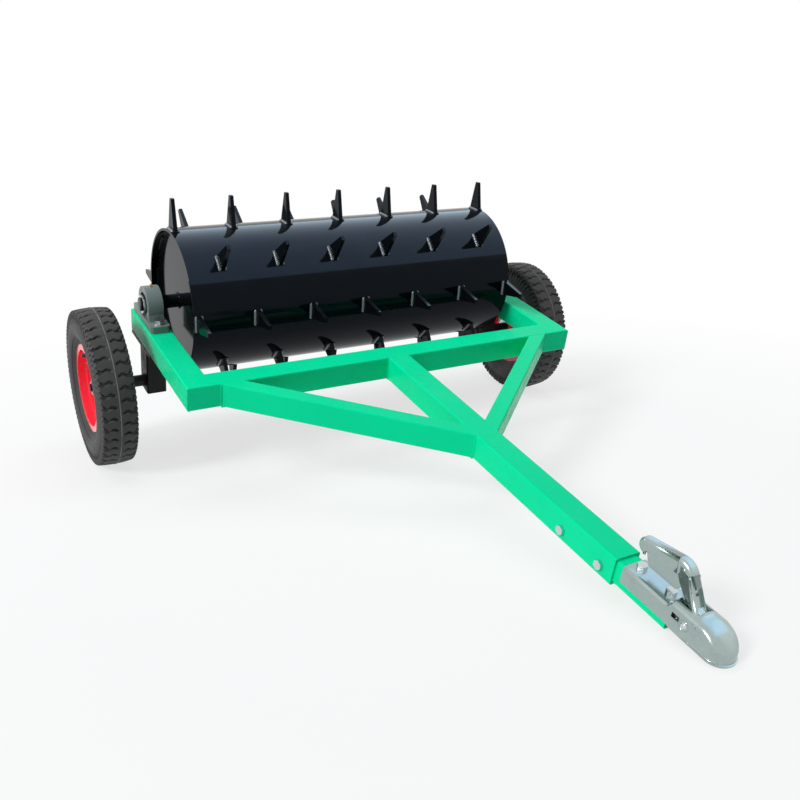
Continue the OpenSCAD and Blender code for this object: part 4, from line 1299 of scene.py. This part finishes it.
@dataclass
class BallCoupler:
    """The pressed ball coupler: shell, lifting handle and small details. Millimetres, level drawing."""

    parked: Parked
    rear_y: float = -877.0
    step_y: float = -985.0
    step_lead: float = 4.0
    step_count: int = 6
    roof_y: float = -997.0
    stations: Tuple[float, ...] = (-905.0, -945.0, -1010.0, -1030.0, -1059.0, -1073.0, -1080.0)
    opening_y: float = -1046.0
    opening_half: float = 18.0
    opening_shares: Tuple[float, ...] = (1.0, 0.67, 0.33, 0.0)
    opening_steps: Tuple[float, ...] = (0.0, 2.0, 4.0, 7.0)
    fall_y: float = -1066.0
    ball_y: float = -1086.0
    bottom: float = -36.0
    sheet: float = 4.0
    channel_half: float = 29.3
    channel_top: float = -0.7
    channel_edge: float = 9.0
    head_r: float = 30.5
    head_top: float = 18.0
    head_edge: float = 10.0
    nose_edge: float = 16.0
    crown_r: float = 60.0
    fall_lean: float = 10.0
    fall_end: float = 44.0
    lip_w: float = 2.5
    lip_t: float = 3.5
    lip_least: float = 0.2
    lip_fold: Flat = (0.3, 0.2)
    front_lip: float = 4.0
    front_run: float = 6.0
    front_spare: float = 4.0
    slot_y: Flat = (-1001.2, -1018.8)
    slot_ring: int = 3
    wall_shares: Tuple[float, ...] = (0.06, 0.56, 0.82, 1.0)
    turn_steps: int = 6
    nose_steps: int = 16
    edge_r: float = 0.6
    edge_angle: float = 50.0
    shell_crease: float = 40.0
    rivet_y: float = -1030.4
    rivet_z: float = -11.6
    rivet_sink: float = 0.4
    rivet_ring: Flat = (9.5, 1.4)
    rivet_steps: int = 40
    web_y: float = -1011.0
    web_t: float = 3.0
    web_z: Flat = (-34.0, -12.0)
    # Place of the dark strips of painted shade behind the side slots.
    shade_strip_z: Flat = (-20.0, -2.0)
    shade_strip_gaps: Flat = (2.5, 0.5)
    shade_strip_spare: float = 4.0
    flange_x: Flat = (5.4, 20.0)
    handle_crease: float = 30.0
    spring_z: float = -26.0
    spring_keep: float = 0.65

    def build(self, wardrobe: Wardrobe) -> None:
        """Adds the shell and what stands in it, the handle, the spring and the rivets' rings.

        Args:
            wardrobe: the finishes.
        """
        zinc, dark = wardrobe.take(Slot.COUPLER), wardrobe.take(Slot.DARK_STEEL)
        self.shell(zinc)
        self.inside(zinc, dark)
        self.handle(zinc)
        self.spring(dark)
        for name in ("coupler_jaw", "handle_pin"):
            wear(frame["nodes"][name], zinc)
        maker = MeshMaker()
        radius, thick = self.rivet_ring
        for side in Side:
            x = side.value * (self.head_r - self.rivet_sink)
            middle = self.parked.point(x, self.rivet_y, self.rivet_z)
            maker.ring(middle, radius * MM, thick * MM, self.rivet_steps)
        maker.piece("pressed_rings", zinc, "frame", Slot.COUPLER)

    def ramp(self, y: float) -> float:
        """Returns how far the step from channel to head has risen, from 0 to 1."""
        return ease((self.step_y - y) / (self.step_y - self.roof_y))

    def roof(self, y: float) -> float:
        """Finds the shell's middle line: channel, step, head and the fall over the nose.

        Args:
            y: place along the machine.

        Returns:
            The line's height.
        """
        if y > self.fall_y:
            return self.channel_top + (self.head_top - self.channel_top) * self.ramp(y)
        lean, steep = math.radians(self.fall_lean), math.radians(self.fall_end)
        middle = self.fall_y + self.crown_r * math.sin(lean)
        base = self.head_top - self.crown_r * math.cos(lean)
        last = middle - self.crown_r * math.sin(steep)
        if y > last:
            return base + math.sqrt(self.crown_r ** 2 - (y - middle) ** 2)
        return base + self.crown_r * math.cos(steep) - (last - y) * math.tan(steep)

    def skin(self, spot: Vector) -> float:
        """Returns the height of the shell's top over a point in plan."""
        crown = self.crown_r - math.sqrt(self.crown_r ** 2 - spot.x ** 2)
        return self.roof(spot.y) - crown * self.ramp(spot.y)

    def front_rise(self, spot: Vector) -> float:
        """Finds how far the front edge of the handle's opening is turned up.

        Args:
            spot: a point in plan.

        Returns:
            The rise.
        """
        if spot.y > self.opening_y:
            return 0.0
        near = limit(1.0 - (self.opening_y - spot.y) / self.front_run)
        across = limit(1.0 - (abs(spot.x) / (self.opening_half + self.front_spare)) ** 4)
        return self.front_lip * near * near * across

    def rib(self, foot: Vector, out: Vector, half: float, edge: float, lip: float) -> List[Vector]:
        """Draws one line of the skin from the lip, up the wall and over to the middle.

        Args:
            foot: where the line meets the middle, in plan.
            out: direction from there to the wall, in plan.
            half: distance to the wall.
            edge: radius between wall and top.
            lip: width of the lip.

        Returns:
            The line's points in the level drawing.
        """
        def at(reach: float) -> float:
            """Returns the top's height at a distance from the middle."""
            return self.skin(foot + out * reach)
        corner = at(half)
        turn = math.pi / 2 - math.atan(at(half - 1.0) - corner)
        cut = edge * math.tan(turn / 2)
        low = self.bottom + self.lip_t * lip / self.lip_w
        high = corner - cut
        line = [(half + lip, low), (half + self.lip_fold[0] * lip, low + self.lip_fold[1])]
        line += [(half, low + (high - low) * share) for share in self.wall_shares]
        for k in range(1, self.turn_steps + 1):
            u = k / self.turn_steps
            line.append((half - cut * u * u, curve(u, high, corner, at(half - cut))))
        line += [(self.opening_half * share, at(self.opening_half * share)) for share in self.opening_shares]
        points = []
        for reach, height in line:
            spot = foot + out * reach
            points.append(Vector((spot.x, spot.y, height + self.front_rise(spot))))
        return points

    def ribs(self, side: Side) -> List[Tuple[float, List[Vector]]]:
        """Draws the lines of one side, from the rear to the middle of the nose.

        Args:
            side: the side to draw.

        Returns:
            Each line's place along the machine and its points.
        """
        places = [self.rear_y, self.step_y + self.step_lead, *self.stations, *self.slot_y, self.fall_y]
        rise = self.roof_y - self.step_y
        places += [self.step_y + rise * k / self.step_count for k in range(self.step_count + 1)]
        places += [self.opening_y - step for step in self.opening_steps]
        lines = []
        for y in sorted(places, reverse=True):
            share = self.ramp(y)
            half = self.channel_half + (self.head_r - self.channel_half) * share
            edge = self.channel_edge + (self.head_edge - self.channel_edge) * share
            lip = self.lip_w * limit((self.step_y - y) / (self.step_y - self.fall_y))
            foot = Vector((0.0, y, 0.0))
            lines.append((y, self.rib(foot, side.value * AXLE, half, edge, max(self.lip_least, lip))))
        foot = Vector((0.0, self.ball_y, 0.0))
        for k in range(self.nose_steps + 1):
            turn = math.pi / 2 * k / self.nose_steps
            aim = Vector((side.value * math.cos(turn), -math.sin(turn), 0.0))
            edge = self.head_edge + (self.nose_edge - self.head_edge) * math.sin(turn)
            lines.append((self.ball_y - k, self.rib(foot, aim, self.head_r, edge, self.lip_w)))
        return lines

    def is_open(self, rear: float, front: float, ring: int, top_ring: int) -> bool:
        """Tells whether a face is left out, for the handle's opening or a side slot.

        Args:
            rear: place of the line behind it.
            front: place of the line before it.
            ring: the face's number from the lip.
            top_ring: number of the first face that can be over the opening.

        Returns:
            Whether it is left out.
        """
        if ring >= top_ring:
            return rear <= self.roof_y and front >= self.opening_y
        return ring == self.slot_ring and rear <= self.slot_y[0] and front >= self.slot_y[1]

    def shell(self, material: Material) -> None:
        """Builds the pressed shell in place of the CAD body, whose nose is plainer.

        Args:
            material: finish of the pressing.
        """
        maker = MeshMaker()
        for side in Side:
            lines = self.ribs(side)
            base, count = len(maker.points), len(lines[0][1])
            for _, line in lines:
                maker.points.extend(self.parked.point(*p) for p in line)
            for i, ((rear, _), (front, _)) in enumerate(zip(lines, lines[1:])):
                for j in range(count - 1):
                    if self.is_open(rear, front, j, count - len(self.opening_shares)):
                        continue
                    a = base + i * count + j
                    quad = (a, a + 1, a + count + 1, a + count)
                    maker.faces.append(quad if side is Side.LEFT else quad[::-1])
        thing = maker.piece("coupler_shell", material, "frame", Slot.COUPLER)
        weld_points(thing)
        modify(thing, "SOLIDIFY", thickness=self.sheet * MM, offset=-1.0, use_even_offset=True)
        modify(thing, "BEVEL", width=self.edge_r * MM, segments=2, limit_method="ANGLE",
               angle_limit=math.radians(self.edge_angle))
        crease(thing, self.shell_crease)
        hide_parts("coupler_body")

    def box(self, maker: MeshMaker, across: Flat, along: Flat, height: Flat) -> None:
        """Adds a block between places across, along and up the level drawing."""
        maker.block([self.parked.point(x, y, z) for z in height for y in along for x in across])

    def inside(self, material: Material, dark: Material) -> None:
        """Adds the web that the spring pushes on, and dark strips behind the side slots as painted shade,
        where the hollow shell has only shade.

        Args:
            material: finish of the web.
            dark: finish of the strips, dark as painted shade.
        """
        inner = self.head_r - self.sheet
        web = MeshMaker()
        self.box(web, (-inner, inner), (self.web_y, self.web_y + self.web_t), self.web_z)
        web.piece("spring_web", material, "frame", Slot.COUPLER)
        # Dark strips behind the side slots are painted shade: inside the shell there is only shade there.
        shade_strips = MeshMaker()
        along = (self.slot_y[1] - self.shade_strip_spare, self.slot_y[0] + self.shade_strip_spare)
        for side in Side:
            self.box(shade_strips, tuple(side.value * (inner - gap) for gap in self.shade_strip_gaps), along, self.shade_strip_z)
        shade_strips.piece("slot_backs", dark, "frame", Slot.DARK_STEEL)

    def handle(self, material: Material) -> None:
        """Builds the handle from the CAD handle, with its flanges cut back so that the finger plate shows.

        Args:
            material: finish of the handle.
        """
        thing = copy_of("coupler_handle", "handle_pressing", material)
        outline = HandleLines().cut()
        for side in Side:
            cutter = MeshMaker()
            cutter.prism(*([self.parked.point(side.value * x, *p) for p in outline] for x in self.flange_x))
            tool = cutter.put("flange_cutter")
            weld_points(tool)
            modify(thing, "BOOLEAN", operation="DIFFERENCE", object=tool, solver="EXACT")
            bpy.data.objects.remove(tool)
        crease(thing, self.handle_crease)
        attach(thing, "handle")
        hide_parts("coupler_handle")
        LOG.info("handle_pressing: %d faces on handle", len(thing.data.polygons))

    def spring(self, material: Material) -> None:
        """Copies the jaw's spring, with its own mesh, onto the frame in place of the CAD spring.

        Args:
            material: finish of the spring.
        """
        thing = copy_of("jaw_spring", "spring_coil", material)
        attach(thing, "frame")
        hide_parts("jaw_spring")
        seat = self.parked.point(0.0, self.web_y, self.spring_z)
        along = self.parked.point(0.0, self.web_y + 1.0 / MM, self.spring_z) - seat
        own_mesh(thing)
        LOG.info("spring_coil: %d faces on frame", len(thing.data.polygons))


@dataclass(frozen=True)
class Sun:
    """A soft distant lamp: the direction to it, how wide it appears in degrees, and its strength."""

    name: str
    towards: Point
    angle: float
    strength: float
    away: float = 5.0

    def build(self) -> None:
        """Adds the lamp."""
        light = bpy.data.lights.new(self.name, "SUN")
        light.angle = math.radians(self.angle)
        light.energy = self.strength
        thing = put(self.name, light)
        thing.location = Vector(self.towards) * self.away
        thing.rotation_euler = Vector(self.towards).to_track_quat("Z", "Y").to_euler()


@dataclass(frozen=True)
class Panel:
    """A level panel lamp over the machine, with its power in watts. With a finish, only that mirrors it."""

    name: str
    place: Point
    size: Flat
    power: float
    tint: Point
    finish: Optional[Slot] = None

    def build(self, wardrobe: Wardrobe) -> None:
        """Adds the lamp, which shows in no gloss or, with a finish, only in that finish's gloss.

        Args:
            wardrobe: the finishes.
        """
        light = bpy.data.lights.new(self.name, "AREA")
        light.shape = "RECTANGLE"
        light.size, light.size_y = self.size
        light.energy = self.power
        light.color = self.tint
        thing = put(self.name, light)
        thing.location = self.place
        if self.finish is None:
            thing.visible_glossy = False
        else:
            self.mirror(thing, wardrobe.take(self.finish))

    def mirror(self, card: Thing, material: Material) -> None:
        """Makes the lamp a card that is seen only mirrored in the pieces of one finish.

        Args:
            card: the lamp.
            material: the finish.
        """
        card.visible_diffuse = False
        card.visible_camera = False
        lit = bpy.data.collections.new(f"lit by {self.name}")
        for thing in bpy.data.objects:
            if thing.type == "MESH" and thing.active_material is material:
                lit.objects.link(thing)
        card.light_linking.receiver_collection = lit


@dataclass
class Studio:
    """Floor, light and camera."""

    camera_at: Point = (-1.10221, -1.68818, 0.86974)
    camera_turn: Point = (72.2720, 0.3634, -30.0096)
    lens: float = 40.651
    sensor: float = 36.0
    view_end: float = 200.0
    floor_size: float = 60.0
    floor_patch: Flat = (0.8, 2.0)
    floor_range: Tuple[float, ...] = (0.3, 0.7, 0.79, 0.81)
    floor_rough: float = 0.9
    fade_near: float = 0.9
    fade_far: float = 2.2
    fade_least: float = 0.7
    sky_light: float = 0.2
    suns: Tuple[Sun, ...] = (
        Sun("key", (-0.8, -0.12, 0.58), 18.0, 2.3),
        Sun("fill", (0.7, -0.3, 0.6), 60.0, 0.15))
    panels: Tuple[Panel, ...] = (
        Panel("panel", (-0.3, 0.75, 3.1), (3.4, 1.7), 52.0, (0.86, 0.94, 1.0)),
        Panel("drum_card", (1.2, 0.55, 1.6), (4.4, 3.8), 167.0, (0.6, 0.8, 1.0), Slot.DRUM),
        Panel("zinc_card", (1.6, -0.75, 1.6), (2.8, 2.5), 15.3, (0.1, 0.5, 1.0), Slot.COUPLER))

    def build(self, wardrobe: Wardrobe) -> None:
        """Sets up everything around the machine.

        Args:
            wardrobe: the finishes, of which two mirror a card over them.
        """
        self.floor()
        self.sky()
        for sun in self.suns:
            sun.build()
        for panel in self.panels:
            panel.build(wardrobe)
        self.camera()

    def floor(self) -> None:
        """Adds the pale floor."""
        half = self.floor_size / 2
        mesh = bpy.data.meshes.new("floor")
        corners = [(-half, -half, 0), (half, -half, 0), (half, half, 0), (-half, half, 0)]
        mesh.from_pydata(corners, [], [(0, 1, 2, 3)])
        material, graph, shader = new_material("pale floor")
        tone = graph.ramp(graph.noise(*self.floor_patch), *self.floor_range)
        graph.tree.links.new(graph.grey(tone), shader.inputs["Base Color"])
        shader.inputs["Roughness"].default_value = self.floor_rough
        self.fade(graph, shader)
        mesh.materials.append(material)
        put("floor", mesh)

    @staticmethod
    def seen(graph: Graph) -> Socket:
        """Marks what the camera sees straight, in gloss or through glass.

        Args:
            graph: the tree to add to.

        Returns:
            A socket that is 1 there and 0 elsewhere.
        """
        path = graph.add("ShaderNodeLightPath").outputs
        direct = graph.math("MAXIMUM", path["Is Camera Ray"], path["Is Glossy Ray"])
        return graph.math("MAXIMUM", direct, path["Is Transmission Ray"])

    def fade(self, graph: Graph, shader: bpy.types.Node) -> None:
        """Lets the floor run out into the white surround, away from the machine's shadow.

        Args:
            graph: the floor's tree.
            shader: the floor's own shader.
        """
        far = graph.vector("LENGTH", "Value", graph.place())
        share = graph.times(graph.ramp(far, self.fade_near, self.fade_far, self.fade_least), self.seen(graph))
        white = graph.add("ShaderNodeEmission", {"Color": (1, 1, 1, 1), "Strength": 1.0})
        blend = graph.add("ShaderNodeMixShader", {0: share, 1: shader.outputs[0], 2: white.outputs[0]})
        end = next(n for n in graph.tree.nodes if n.bl_idname == "ShaderNodeOutputMaterial")
        graph.tree.links.new(blend.outputs[0], end.inputs[0])

    def sky(self) -> None:
        """Sets a white surround for what the camera and mirrors see, and a softer one for light."""
        world = bpy.data.worlds.new("studio")
        bpy.context.scene.world = world
        world.use_nodes = True
        graph = Graph(world.node_tree)
        world.node_tree.nodes.clear()
        strength = graph.ramp(self.seen(graph), 0.0, 1.0, self.sky_light, 1.0)
        surround = graph.add("ShaderNodeBackground", {"Color": (1, 1, 1, 1), "Strength": strength})
        end = graph.add("ShaderNodeOutputWorld")
        graph.tree.links.new(surround.outputs[0], end.inputs[0])

    def camera(self) -> None:
        """Adds the camera at the photograph's place."""
        data = bpy.data.cameras.new("camera")
        data.sensor_width = self.sensor
        data.sensor_fit = "HORIZONTAL"
        data.lens = self.lens
        data.clip_end = self.view_end
        thing = put("camera", data)
        thing.location = self.camera_at
        thing.rotation_euler = [math.radians(v) for v in self.camera_turn]
        bpy.context.scene.camera = thing


def joint_place(name: str) -> Vector:
    """Returns where a joint of the CAD model stands."""
    return Vector(next(j["pos_m"] for j in frame["joints"] if j["name"] == name))


def main() -> None:
    """Builds and dresses the machine, then the studio."""
    logging.basicConfig(level=logging.INFO, format="%(message)s")
    bpy.context.scene.view_settings.view_transform = "Standard"
    wardrobe = Wardrobe()
    wardrobe.dress(frame["record"], frame["nodes"])
    welded = WeldedFrame(Parked.from_record(frame["record"], WeldedFrame.tube / 2))
    parked = welded.parked
    welded.build(wardrobe)
    SpikedDrum(joint_place("drum_spin"), parked.pitch).build(wardrobe)
    for side in Side:
        RoadWheel(side, joint_place(f"{side.name.lower()}_wheel_spin"), parked.pitch).build(wardrobe)
    BallCoupler(parked).build(wardrobe)
    Studio().build(wardrobe)


if __name__ == "__main__":
    main()
